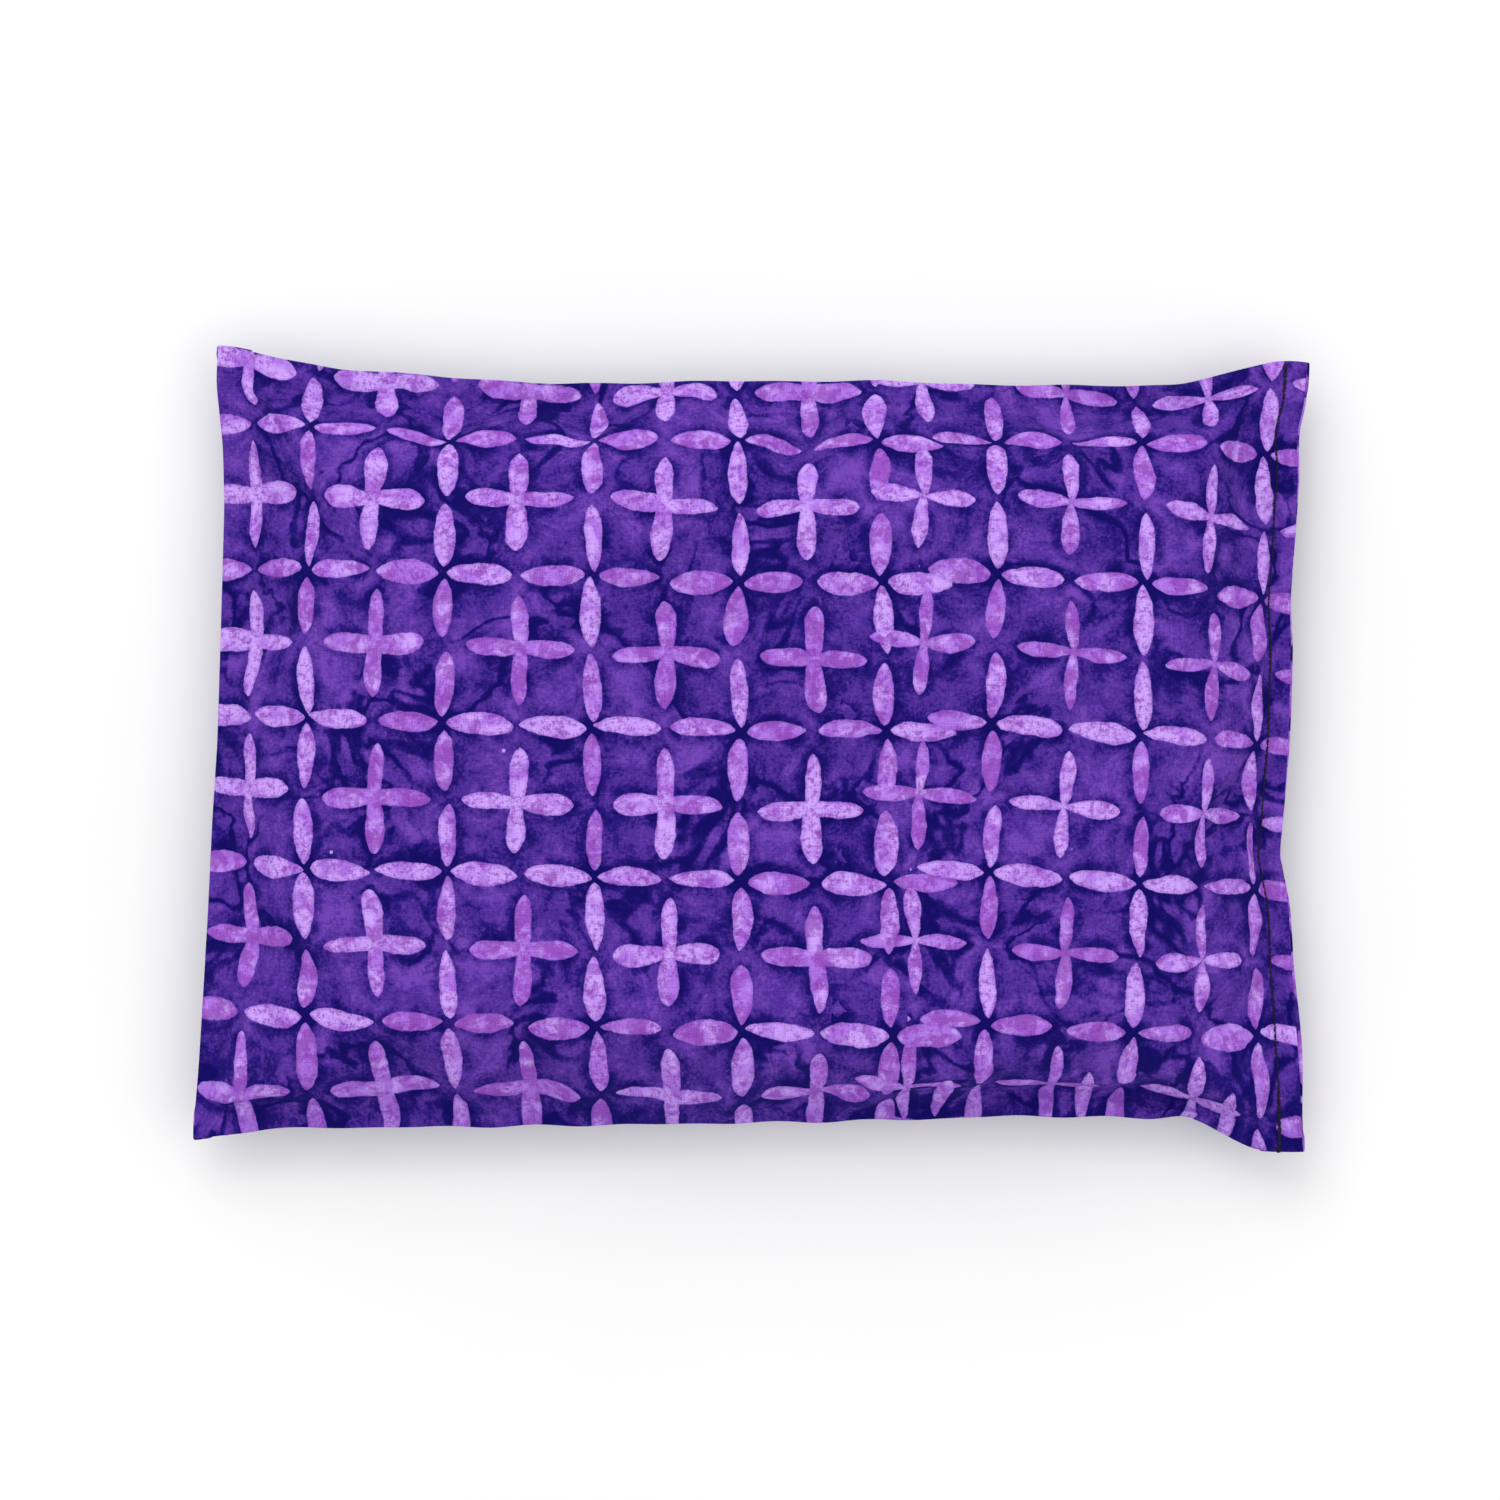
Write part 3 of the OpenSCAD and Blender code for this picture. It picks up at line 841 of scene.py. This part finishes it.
class Sheet:
    """A node tree being laid out: adds nodes, does sums and links them."""

    def __init__(self, tree):
        self.tree = tree
        self.count = 0

    def add(self, kind, **settings):
        node = self.tree.nodes.new(kind)
        node.location = (180 * (self.count % 14), -220 * (self.count // 14))
        self.count += 1
        return give(node, **settings)

    def put(self, socket, value):
        """Links a value to a socket, or sets the socket to a constant."""
        if isinstance(value, Value):
            self.tree.links.new(value.socket, socket)
        elif socket.type == "RGBA":
            socket.default_value = (*value, 1.0)
        else:
            socket.default_value = value

    def fill(self, node, *listed, **named):
        """Sets or links a node's inputs, in their order or by name."""
        for socket, value in zip(node.inputs, listed):
            self.put(socket, value)
        for label, value in named.items():
            self.put(node.inputs[label.replace("_", " ")], value)
        return node

    def out(self, node, name=0):
        return Value(self, node.outputs[name])

    def sum(self, operation, *values):
        return self.out(self.fill(self.add("ShaderNodeMath", operation=operation), *values))

    def vector(self, operation, *values, **named):
        node = self.fill(self.add("ShaderNodeVectorMath", operation=operation), *values, **named)
        return self.out(node, "Value" if operation == "LENGTH" else "Vector")

    def range(self, value, low, high, to_low=0.0, to_high=1.0, kind="SMOOTHSTEP"):
        node = self.add("ShaderNodeMapRange", interpolation_type=kind)
        return self.out(self.fill(node, value, low, high, to_low, to_high), "Result")

    def noise(self, place, scale, detail=3.0, rough=0.55, twist=0.0, name="Fac"):
        node = self.add("ShaderNodeTexNoise")
        self.fill(node, Vector=place, Scale=scale, Detail=detail, Roughness=rough, Distortion=twist)
        return self.out(node, name)

    def wobble(self, place, scale, detail, reach):
        """A soft random shift for each place, half of reach to each side."""
        shift = self.noise(place, scale, detail, name="Color")
        shift = self.vector("SUBTRACT", shift, (0.5, 0.5, 0.5))
        return self.vector("SCALE", shift, Scale=reach)

    def mix(self, share, a, b, blend="MIX"):
        """The colour a where share is 0, and b where it is 1."""
        node = self.add("ShaderNodeMix", data_type="RGBA", blend_type=blend)
        for slot, value in ((0, share), (6, a), (7, b)):
            self.put(node.inputs[slot], value)
        return self.out(node, 2)

    def choose(self, share, a, b):
        """The number a where share is 0, and b where it is 1."""
        node = self.add("ShaderNodeMix", data_type="FLOAT")
        for slot, value in ((0, share), (2, a), (3, b)):
            self.put(node.inputs[slot], value)
        return self.out(node)

    def parts(self, vector):
        node = self.fill(self.add("ShaderNodeSeparateXYZ"), vector)
        return [self.out(node, k) for k in range(3)]

    def combine(self, x, y, z):
        return self.out(self.fill(self.add("ShaderNodeCombineXYZ"), x, y, z))

    def chance(self, vector):
        """A random number and a random colour for each place."""
        node = self.add("ShaderNodeTexWhiteNoise", noise_dimensions="3D")
        self.fill(node, Vector=vector)
        return self.out(node, "Value"), self.out(node, "Color")

    def cells(self, place, scale, feature, *names):
        """The named outputs of a Voronoi texture."""
        node = self.add("ShaderNodeTexVoronoi", feature=feature)
        self.fill(node, Vector=place, Scale=scale)
        return [self.out(node, name) for name in names]

    def bump(self, shader, height, strength, distance):
        """Gives a shader fine relief from a height."""
        node = self.add("ShaderNodeBump")
        self.fill(node, Strength=strength, Distance=distance, Height=height)
        self.fill(shader, Normal=self.out(node, "Normal"))


def new_group(name, inputs, outputs):
    """A shader node group, its layout sheet, its inputs as values, and its output node.

    An input is given by its usual number, or by its kind of socket if it has none."""
    group = bpy.data.node_groups.new(name, "ShaderNodeTree")
    for label, given in inputs.items():
        kind = given if isinstance(given, str) else NUMBER
        socket = group.interface.new_socket(name=label, in_out="INPUT", socket_type=kind)
        if kind == NUMBER:
            socket.default_value = given
    for label, kind in outputs.items():
        group.interface.new_socket(name=label, in_out="OUTPUT", socket_type=kind)
    sheet = Sheet(group)
    start = sheet.add("NodeGroupInput")
    values = {label: sheet.out(start, label) for label in inputs}
    return group, sheet, values, sheet.add("NodeGroupOutput")


def use_group(sheet, group, **values):
    """Places a node group in a sheet, with its inputs set or linked by name."""
    node = sheet.fill(sheet.add("ShaderNodeGroup", node_tree=group), **values)
    return {socket.name: Value(sheet, socket) for socket in node.outputs}


def petal_block_group():
    """One wax block: petals along the grid lines and a cross of petals in each cell.

    Works in millimetres. Shape is how far inside a petal a point is, Petal a number for each
    petal, and Crossing the distance to the nearest meeting of the lines."""
    group, sheet, put, end = new_group(
        "petal_block",
        {
            "Place": VECTOR, "Centre": VECTOR, "Turn": 0.0, "Pitch": 33.3, "Pitch Up": 33.3,
            "Line Width": 4.8, "Cross Width": 4.2, "Join": 0.5, "Blunt": 2.4, "Lean": 0.0,
            "From": -9.0, "To": 9.0, "Crosses": 1.0,
        },
        STAMP,
    )
    moved = sheet.vector("SUBTRACT", put["Place"], put["Centre"])
    rotate = sheet.add("ShaderNodeVectorRotate", rotation_type="Z_AXIS")
    bent = sheet.out(sheet.fill(rotate, Vector=moved, Angle=put["Turn"]), "Vector")
    for shift in (sheet.wobble(moved, 0.075, 2.0, 2.6), sheet.wobble(moved, 0.42, 2.0, 0.65)):
        bent = sheet.vector("ADD", bent, shift)
    px, py, _ = sheet.parts(bent)
    a = (px + py * put["Lean"]) / put["Pitch"]
    b = py / put["Pitch Up"]
    a_line = sheet.sum("FLOOR", a + 0.5)
    b_line = sheet.sum("FLOOR", b + 0.5)

    def lens(along, across, half_length, half_width, flare, blunt=2.2):
        """How far inside a petal a point is. flare widens one end and narrows the other."""
        part = along / half_length
        half_width = half_width * (1.0 + part * flare)
        part = abs(part)
        past = sheet.sum("MAXIMUM", part - 1.0, 0.0) * 8.0
        body = sheet.sum("MAXIMUM", 1.0 - part ** blunt, 0.0) ** 0.66
        return body * half_width - past - abs(across)

    def line_petals(run, cross_run, line, pitch, cross_pitch, salt):
        """The petals along one set of lines, two to a cell."""
        twice = run * 2.0
        cell = sheet.sum("FLOOR", twice)
        number, shades = sheet.chance(sheet.combine(cell, line, salt))
        r1, r2, r3 = sheet.parts(shades)
        along = (twice - cell - 0.5) * (pitch * 0.5) + (r3 - 0.5) * 0.9
        lean = (r1 - 0.5) * 0.1
        across = (cross_run - line) * cross_pitch + along * lean + (r2 - 0.5) * 0.8
        half_width = put["Line Width"] * (0.43 + r2 * 0.16)
        return lens(along, across, 6.75 + r1 * 1.05, half_width, r3 * 0.56 - 0.28), number

    row, row_number = line_petals(a, b, b_line, put["Pitch"], put["Pitch Up"], 0.3)
    column, column_number = line_petals(b, a, a_line, put["Pitch Up"], put["Pitch"], 7.7)
    a_cell = sheet.sum("FLOOR", a)
    b_cell = sheet.sum("FLOOR", b)
    cell_number, cell_shades = sheet.chance(sheet.combine(a_cell, b_cell, 3.1))
    s1, s2, s3 = sheet.parts(cell_shades)
    ca = (a - a_cell - 0.5) * put["Pitch"] + (s1 - 0.5) * 1.4
    cb = (b - b_cell - 0.5) * put["Pitch Up"] + (s2 - 0.5) * 1.4
    join = put["Join"] * (0.35 + s3)

    def arms(run, across, salt):
        """The two arms of a cell's cross that lie along run."""
        side = a_cell + sheet.sum("SIGN", run) * 0.3
        t1, t2, t3 = sheet.parts(sheet.chance(sheet.combine(side, b_cell, salt))[1])
        out = abs(run)
        tilt = (t3 - 0.5) * 0.16 * out
        half_length = 5.7 + t1 * 0.9 + join
        half_width = put["Cross Width"] * (0.41 + t2 * 0.15)
        flare = 0.1 + t2 * 0.3
        return lens(out - (6.1 - join), across + tilt, half_length, half_width, flare, put["Blunt"])

    def beyond(run):
        """1 outside the columns that the block has."""
        return (run < put["From"]) + (run > put["To"])

    lines = sheet.sum("MAXIMUM", row, column) - beyond(a) * FAR
    cross = sheet.sum("MAXIMUM", arms(ca, cb, 1.9), arms(cb, ca, 5.3))
    cross = cross - (beyond(a + 0.5) + (1.0 - put["Crosses"])) * FAR
    line_number = sheet.choose(row > column, column_number, row_number)
    from_lines = sheet.combine((a - a_line) * put["Pitch"], (b - b_line) * put["Pitch Up"], 0.0)
    sheet.fill(
        end, Shape=sheet.sum("MAXIMUM", lines, cross),
        Petal=sheet.choose(cross > lines, line_number, cell_number),
        Crossing=sheet.vector("LENGTH", from_lines),
    )
    return group


def wax_print_group(petals):
    """All the wax blocks stamped on the cloth, in millimetres of flat cloth."""
    group, sheet, put, end = new_group("wax_print", {"Place": VECTOR}, STAMP)
    place = put["Place"]
    first = use_group(
        sheet, petals, Place=place, Centre=(-35.1, 8.1, 0.0), Turn=math.radians(0.4),
        Pitch=33.3, Pitch_Up=34.0, Line_Width=4.5, Cross_Width=4.3, Join=1.5, Blunt=2.6,
        Lean=0.035, To=2.47,
    )
    second = use_group(
        sheet, petals, Place=place, Centre=(89.3, 7.5, 0.0), Turn=math.radians(4.2),
        Pitch=33.6, Pitch_Up=33.8, Line_Width=4.3, Cross_Width=3.6, Join=0.3, Blunt=2.1,
        Lean=0.058, From=-1.53,
    )
    third = use_group(
        sheet, petals, Place=place, Centre=(79.3, -88.5, 0.0), Turn=math.radians(2.5),
        Pitch=33.2, Pitch_Up=38.0, Line_Width=4.1, Cross_Width=3.8, Join=0.3, Blunt=2.2,
        From=-1.53, Crosses=0.0,
    )
    above_third = sheet.range(sheet.parts(place)[1], -71.0, -70.5) * FAR

    def reach(block):
        """How far a block's line meetings are, or out of reach where it wasn't stamped."""
        return block["Crossing"] + (block["Shape"] < -20.0) * FAR

    shape, petal, crossing = first["Shape"], first["Petal"], reach(first)
    for block, cut in ((second, 0.0), (third, above_third)):
        here = block["Shape"] - cut
        petal = sheet.choose(here > shape, petal, block["Petal"])
        shape = sheet.sum("MAXIMUM", here, shape)
        crossing = sheet.sum("MINIMUM", reach(block) + cut, crossing)
    sheet.fill(end, Shape=shape, Petal=petal, Crossing=crossing)
    return group


def weave_group():
    """Plain weave of fine cotton yarns, in millimetres of flat cloth: a grey grain and a height."""
    group, sheet, put, end = new_group(
        "plain_weave", {"Place": VECTOR, "Yarn": 0.36}, {"Grain": NUMBER, "Height": NUMBER}
    )
    place = sheet.vector("ADD", put["Place"], sheet.wobble(put["Place"], 0.9, 2.0, 0.16))
    x, y, _ = sheet.parts(place)
    warp = sheet.sum("SINE", x / put["Yarn"] * math.pi)
    weft = sheet.sum("SINE", y / put["Yarn"] * math.pi)
    over = sheet.range(warp * weft, -0.5, 0.5)
    height = abs(warp) * over + abs(weft) * (1.0 - over)
    slub_x = sheet.noise(sheet.vector("MULTIPLY", place, (3.4, 0.28, 1.0)), 1.0, 2.0)
    slub_y = sheet.noise(sheet.vector("MULTIPLY", place, (0.28, 3.4, 1.0)), 1.0, 2.0)
    sheet.fill(end, Grain=height * 0.35 + (slub_x + slub_y) * 0.65, Height=height)
    return group


def dye_group():
    """Watery dye on the ground: pools of navy and purple with cracks in the wax, in millimetres. A darkening
    input deepens the tone, for dye pooled by the wax and for painted shade on the cloth's lower side.
    """
    dyes = {label: COLOUR for label in ("Deepest", "Navy", "Violet", "Purple")}
    group, sheet, put, end = new_group(
        "pooled_dye",
        {"Place": VECTOR, **dyes, "Pool": 0.0},
        {"Color": COLOUR, "Crack": NUMBER, "Speck": NUMBER},
    )
    place = put["Place"]
    broad = sheet.noise(place, 0.050, 5.0, 0.62, 1.2)
    blotch = sheet.noise(place, 0.16, 6.0, 0.70, 0.5)
    fleck = sheet.noise(place, 1.2, 4.0, 0.75, 0.2)
    tone = broad * 1.5 + blotch * 1.1 + fleck - 0.22 - put["Pool"]
    colour = put["Deepest"]
    for label, low, high in (("Navy", 1.05, 1.34), ("Violet", 1.30, 1.57), ("Purple", 1.55, 1.86)):
        colour = sheet.mix(sheet.range(tone, low, high), colour, put[label])
    veined = sheet.vector("ADD", place, sheet.wobble(place, 0.22, 4.0, 9.0))
    to_edge, = sheet.cells(veined, 0.062, "DISTANCE_TO_EDGE", "Distance")
    some = sheet.range(sheet.noise(place, 0.06, 2.0), 0.50, 0.62)
    crack = sheet.range(to_edge, 0.004, 0.022, 1.0, 0.0) * some
    to_dot, dot = sheet.cells(place, 0.11, "F1", "Distance", "Position")
    rare = sheet.chance(dot)[0] > 0.86
    speck = sheet.range(to_dot, 0.035, 0.055, 1.0, 0.0) * rare
    sheet.fill(end, Color=colour, Crack=crack, Speck=speck)
    return group


def start_material(name):
    """A new material, its layout sheet, and its Principled shader."""
    material = bpy.data.materials.new(name)
    material.use_nodes = True
    shader = material.node_tree.nodes["Principled BSDF"]
    shader.location = (2700, 0)
    material.node_tree.nodes["Material Output"].location = (3000, 0)
    return material, Sheet(material.node_tree), shader


def batik_cotton(name, groups, colours, shift):
    """Printed batik cotton. shift moves the print in millimetres, so the back isn't the front's twin."""
    material, sheet, shader = start_material(name)
    uv = sheet.out(sheet.add("ShaderNodeUVMap", uv_map="cloth"), "UV")
    place = sheet.vector("ADD", sheet.vector("SCALE", uv, Scale=1000.0), (*shift, 0.0))
    stamp = use_group(sheet, groups["wax"], Place=place)
    own_shade = stamp["Petal"] - 0.5
    ragged = sheet.noise(place, 1.3, 3.0, 0.65) - 0.5
    shape = stamp["Shape"] + ragged * 0.3
    mask = sheet.range(shape, -0.12, 0.16)
    halo = sheet.range(shape, -3.4, -0.1) * sheet.range(sheet.noise(place, 0.1, 3.0), 0.36, 0.6)
    star = sheet.range(stamp["Crossing"], 1.0, 5.0, 1.0, 0.0)
    drift = abs(sheet.noise(place, 0.045, 3.0, 0.5, 0.7) - 0.5)
    drift = sheet.range(drift, 0.0, 0.045, 1.0, 0.0)
    drift = drift * sheet.range(sheet.noise(place, 0.028, 1.0), 0.42, 0.58)
    # Painted shade: the cloth's lower side, where it turns down away from the light, is made darker.
    painted_lower_shade = sheet.range(sheet.parts(place)[1], -84.0, -64.0, 1.0, 0.0)
    # The dye's darkening takes the pools beside the wax and the painted shade of the lower side.
    ink = use_group(
        sheet, groups["dye"], Place=place,
        Pool=halo * 0.34 + star * 0.45 + drift * 0.55 + painted_lower_shade * 0.16,
        Deepest=colours.deepest, Navy=colours.navy, Violet=colours.violet, Purple=colours.purple,
    )
    ground = sheet.mix(ink["Crack"] * 0.55, ink["Color"], colours.deepest)
    ground = sheet.mix(ink["Speck"] * 0.8, ground, colours.petal_light)
    wash = sheet.noise(place, 0.16, 4.0, 0.6, 0.8) + own_shade * 0.16
    petal = sheet.mix(sheet.range(wash, 0.40, 0.62), colours.petal, colours.petal_light)
    creep = sheet.noise(place, 0.24, 6.0, 0.74, 0.3) + own_shade * -0.14
    petal = sheet.mix(sheet.range(creep, 0.48, 0.6) * 0.7, petal, colours.stain)
    rim = sheet.range(shape, 0.15, 0.9, 1.0, 0.0)
    petal = sheet.mix(rim * 0.28, petal, colours.purple)
    patch = sheet.noise(place, 0.11, 2.0, 0.5, 0.4) + own_shade * 0.22
    some = sheet.range(patch, 0.36, 0.54) * 0.72
    fleck = sheet.range(sheet.noise(place, 0.75, 4.0, 0.8), 0.49, 0.59)
    petal = sheet.mix(fleck * some, petal, colours.stain)
    # Painted shade: the petals on the lower side are dulled towards purple.
    petal = sheet.mix(painted_lower_shade * 0.3, petal, colours.purple)
    weave = use_group(sheet, groups["weave"], Place=place)
    grain = sheet.range(weave["Grain"], 0.35, 1.05, 0.62, 1.36, kind="LINEAR")
    colour = sheet.mix(mask, ground, petal)
    colour = sheet.mix(1.0, colour, sheet.combine(grain, grain, grain), "MULTIPLY")
    rough = sheet.range(weave["Grain"], 0.3, 1.0, 0.92, 0.80, kind="LINEAR") - mask * 0.03
    to_seed, = sheet.cells(place, 0.42, "SMOOTH_F1", "Distance")
    crumple = sheet.noise(place, 0.24, 4.0, 0.55, 0.4)
    sheet.bump(shader, weave["Height"] * 0.05 + crumple * 0.8 - to_seed * 0.1, 0.55, 0.001)
    sheet.fill(
        shader, Base_Color=colour, Roughness=rough, Specular_IOR_Level=0.03,
        Sheen_Weight=0.01, Sheen_Roughness=0.5,
    )
    return material


def speckled(name, base, patch, fibre_and_glint, rough, relief, specular=0.5):
    """A plain material: a base colour, soft patches of a second and fine fibres of a third, which on the
    thread is a painted glint.

    The fibres also set the roughness and the relief."""
    material, sheet, shader = start_material(name)
    place = sheet.out(sheet.add("ShaderNodeTexCoord"), "Object")
    noise, low, high, tint = patch
    colour = sheet.mix(sheet.range(sheet.noise(place, *noise), low, high), base, tint)
    noise, low, high, share, tint = fibre_and_glint
    fine = sheet.noise(place, *noise)
    colour = sheet.mix(sheet.range(fine, low, high) * share, colour, tint)
    sheet.fill(
        shader, Base_Color=colour, Roughness=sheet.range(fine, 0.3, 0.7, *rough),
        Specular_IOR_Level=specular,
    )
    sheet.bump(shader, fine, *relief)
    return material


def spun_thread(name, colours):
    """Spun thread: fine fibres along it with lighter flecks painted as glint, and hardly any gloss."""
    return speckled(
        name, colours.thread, ((700.0, 2.0), 0.35, 0.65, (0.011, 0.007, 0.032)),
        # Painted glint: the lighter fibre colour stands in for light catching the thread.
        ((9000.0, 3.0, 0.6), 0.5, 0.75, 0.5, (0.030, 0.020, 0.060)),
        rough=(0.42, 0.66), relief=(0.5, 0.00004), specular=0.2,
    )


def flax_seed(name, colours):
    """Shiny brown seed coats, each seed a little lighter or darker."""
    return speckled(
        name, colours.seed, ((260.0, 2.0, 0.7), 0.35, 0.65, (0.26, 0.12, 0.045)),
        ((2600.0, 3.0, 0.6), 0.55, 0.75, 0.35, (0.06, 0.02, 0.008)),
        rough=(0.24, 0.42), relief=(0.4, 0.0001),
    )


def dried_bud(name, colours):
    """Dry, downy lavender: grey violet with greener feet and dusty fibres."""
    return speckled(
        name, colours.bud, ((420.0, 3.0, 0.6), 0.38, 0.62, (0.12, 0.13, 0.075)),
        ((5200.0, 3.0, 0.65), 0.5, 0.72, 0.5, (0.36, 0.31, 0.42)),
        rough=(0.95, 0.78), relief=(0.6, 0.00008),
    )


def pale_floor(name):
    """Matt white studio paper with the faintest mottling."""
    material, sheet, shader = start_material(name)
    tone = sheet.noise(sheet.out(sheet.add("ShaderNodeTexCoord"), "Object"), 6.0, 3.0)
    colour = sheet.mix(sheet.range(tone, 0.3, 0.7), (0.90, 0.90, 0.90), (0.915, 0.915, 0.915))
    rough = sheet.range(tone, 0.3, 0.7, 0.88, 0.94)
    sheet.fill(shader, Base_Color=colour, Roughness=rough, Specular_IOR_Level=0.1)
    return material


GROUPS = {}


def cloth_groups():
    """The shared node groups of the printed cotton, built once."""
    if not GROUPS:
        GROUPS["wax"] = wax_print_group(petal_block_group())
        GROUPS["weave"] = weave_group()
        GROUPS["dye"] = dye_group()
    return GROUPS


def finish_piece(piece, material, node):
    """Gives a piece its material and the body it rides on, and hides the CAD node it stands for."""
    piece.data.materials.clear()
    piece.data.materials.append(material)
    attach(piece, "root")
    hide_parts(node)


# ---------------------------------------------------------------- operators


class PILLOW_OT_fill_cloth(bpy.types.Operator):
    """Sew two flat layers of cloth and let the fill shape them"""

    bl_idname = "pillow.fill_cloth"
    bl_label = "Fill the cloth"

    def execute(self, context):
        shaped_layers(context)
        return {"FINISHED"}


class PILLOW_OT_panels(bpy.types.Operator):
    """Make the printed front and back panels with their turned-in edges"""

    bl_idname = "pillow.panels"
    bl_label = "Panels"

    def execute(self, context):
        colours = context.scene.eye_pillow_colours
        for name, side, print_moved in (("front", 1, (0.0, 0.0)), ("back", -1, (-9.0, 13.0))):
            panel = sew_panel(name + "_panel_cloth", side, context)
            cotton = batik_cotton("batik_cotton_" + name, cloth_groups(), colours, print_moved)
            finish_piece(panel, cotton, name + "_panel")
        return {"FINISHED"}


class PILLOW_OT_fill(bpy.types.Operator):
    """Pour in the flax seeds"""

    bl_idname = "pillow.fill"
    bl_label = "Flax seeds"

    def execute(self, context):
        scene = context.scene
        fill = pour_seeds(scene.eye_pillow_sizes, shaped_layers(context))
        coat = flax_seed("flax_seed_coat", scene.eye_pillow_colours)
        finish_piece(fill, coat, "flaxseed_fill")
        return {"FINISHED"}


class PILLOW_OT_buds(bpy.types.Operator):
    """Scatter dried lavender buds among the seeds"""

    bl_idname = "pillow.buds"
    bl_label = "Lavender buds"

    def execute(self, context):
        scene = context.scene
        buds = scatter_buds(scene.eye_pillow_sizes, shaped_layers(context))
        husk = dried_bud("dried_lavender", scene.eye_pillow_colours)
        finish_piece(buds, husk, "lavender_buds")
        return {"FINISHED"}


class PILLOW_OT_closing_stitches(bpy.types.Operator):
    """Sew the closing row: the needle thread on the front and the bobbin thread on the back"""

    bl_idname = "pillow.closing_stitches"
    bl_label = "Closing stitches"

    def execute(self, context):
        sizes = context.scene.eye_pillow_sizes
        material = spun_thread("dark_spun_thread", context.scene.eye_pillow_colours)
        for node, panel, side, seed in (
            ("closing_needle_thread", "front_panel_cloth", 1, 3),
            ("closing_bobbin_thread", "back_panel_cloth", -1, 4),
        ):
            cloth = bpy.data.objects[panel]
            tree = BVHTree.FromObject(cloth, context.evaluated_depsgraph_get())
            path = closing_path(sizes, tree, side, seed)
            thread = thread_piece(node + "_row", path, sizes.thread, 2, 0.0013)
            finish_piece(thread, material, node)
        return {"FINISHED"}


class PILLOW_OT_seam_stitches(bpy.types.Operator):
    """Sew the hidden side and end seams"""

    bl_idname = "pillow.seam_stitches"
    bl_label = "Seam stitches"

    def execute(self, context):
        sizes = context.scene.eye_pillow_sizes
        material = spun_thread("seam_spun_thread", context.scene.eye_pillow_colours)
        for node, side in (("seam_needle_thread", 1), ("seam_bobbin_thread", -1)):
            path = seam_path(sizes, side)
            thread = thread_piece(node + "_row", path, sizes.thread * 0.4, 1, 0.0011)
            finish_piece(thread, material, node)
        return {"FINISHED"}


class PILLOW_OT_stage(bpy.types.Operator):
    """Set out the pale floor, the soft lights and the camera"""

    bl_idname = "pillow.stage"
    bl_label = "Stage"

    def execute(self, context):
        bpy.ops.object.select_all(action="DESELECT")
        bpy.ops.mesh.primitive_plane_add(size=6.0, location=(0, 0, -0.0002))
        floor = context.active_object
        floor.name = "studio_floor"
        bpy.ops.object.transform_apply(location=True, rotation=True, scale=True)
        floor.data.materials.append(pale_floor("studio_paper"))
        for name, place, size, power in (
            ("key_light", (-0.6, 1.6, 1.5), 2.0, 18.0),
            ("fill_light", (1.2, -0.5, 1.5), 1.8, 4.0),
        ):
            light = give(bpy.data.lights.new(name, "AREA"), shape="DISK", size=size, energy=power)
            lamp = give(bpy.data.objects.new(name, light), location=place)
            lamp.rotation_euler = (-Vector(place)).to_track_quat("-Z", "Y").to_euler()
            bpy.context.collection.objects.link(lamp)
        world = bpy.data.worlds.new("studio_air")
        world.use_nodes = True
        air = world.node_tree.nodes["Background"]
        Sheet(world.node_tree).fill(air, Color=(1.0, 1.0, 1.0), Strength=0.89)
        context.scene.world = world
        context.scene.view_settings.view_transform = "Standard"
        height = 1.6
        film = 36.0
        lens = bpy.data.cameras.new("overhead_camera")
        give(lens, sensor_width=film, clip_start=0.05, clip_end=20.0)
        lens.lens = film * (height - 0.016) / 0.3414
        camera = give(bpy.data.objects.new("overhead_camera", lens), location=(0.0, 0.0, height))
        bpy.context.collection.objects.link(camera)
        context.scene.camera = camera
        return {"FINISHED"}


class PILLOW_PT_sidebar(bpy.types.Panel):
    """Lists the steps of making the pillow"""

    bl_idname = "PILLOW_PT_sidebar"
    bl_label = "Eye pillow"
    bl_space_type = "VIEW_3D"
    bl_region_type = "UI"
    bl_category = "Eye pillow"

    def draw(self, context):
        column = self.layout.column()
        for step in STEPS:
            column.operator(step.bl_idname)
        column.separator()
        for name in PillowSizes.__annotations__:
            column.prop(context.scene.eye_pillow_sizes, name)
        for name in PillowColours.__annotations__:
            column.prop(context.scene.eye_pillow_colours, name)


STEPS = (
    PILLOW_OT_fill_cloth,
    PILLOW_OT_fill,
    PILLOW_OT_buds,
    PILLOW_OT_panels,
    PILLOW_OT_closing_stitches,
    PILLOW_OT_seam_stitches,
    PILLOW_OT_stage,
)
CLASSES = (PillowSizes, PillowColours) + STEPS + (PILLOW_PT_sidebar,)


def register():
    """Registers the settings, the steps and the sidebar panel."""
    for each in CLASSES:
        bpy.utils.register_class(each)
    bpy.types.Scene.eye_pillow_sizes = PointerProperty(type=PillowSizes)
    bpy.types.Scene.eye_pillow_colours = PointerProperty(type=PillowColours)


def unregister():
    """Takes them away again."""
    del bpy.types.Scene.eye_pillow_colours
    del bpy.types.Scene.eye_pillow_sizes
    for each in reversed(CLASSES):
        bpy.utils.unregister_class(each)


def main():
    """Makes the whole pillow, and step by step."""
    register()
    bpy.ops.pillow.fill_cloth()
    bpy.ops.pillow.fill()
    bpy.ops.pillow.buds()
    bpy.ops.pillow.panels()
    bpy.ops.pillow.closing_stitches()
    bpy.ops.pillow.seam_stitches()
    bpy.ops.pillow.stage()


if __name__ == "__main__":
    main()
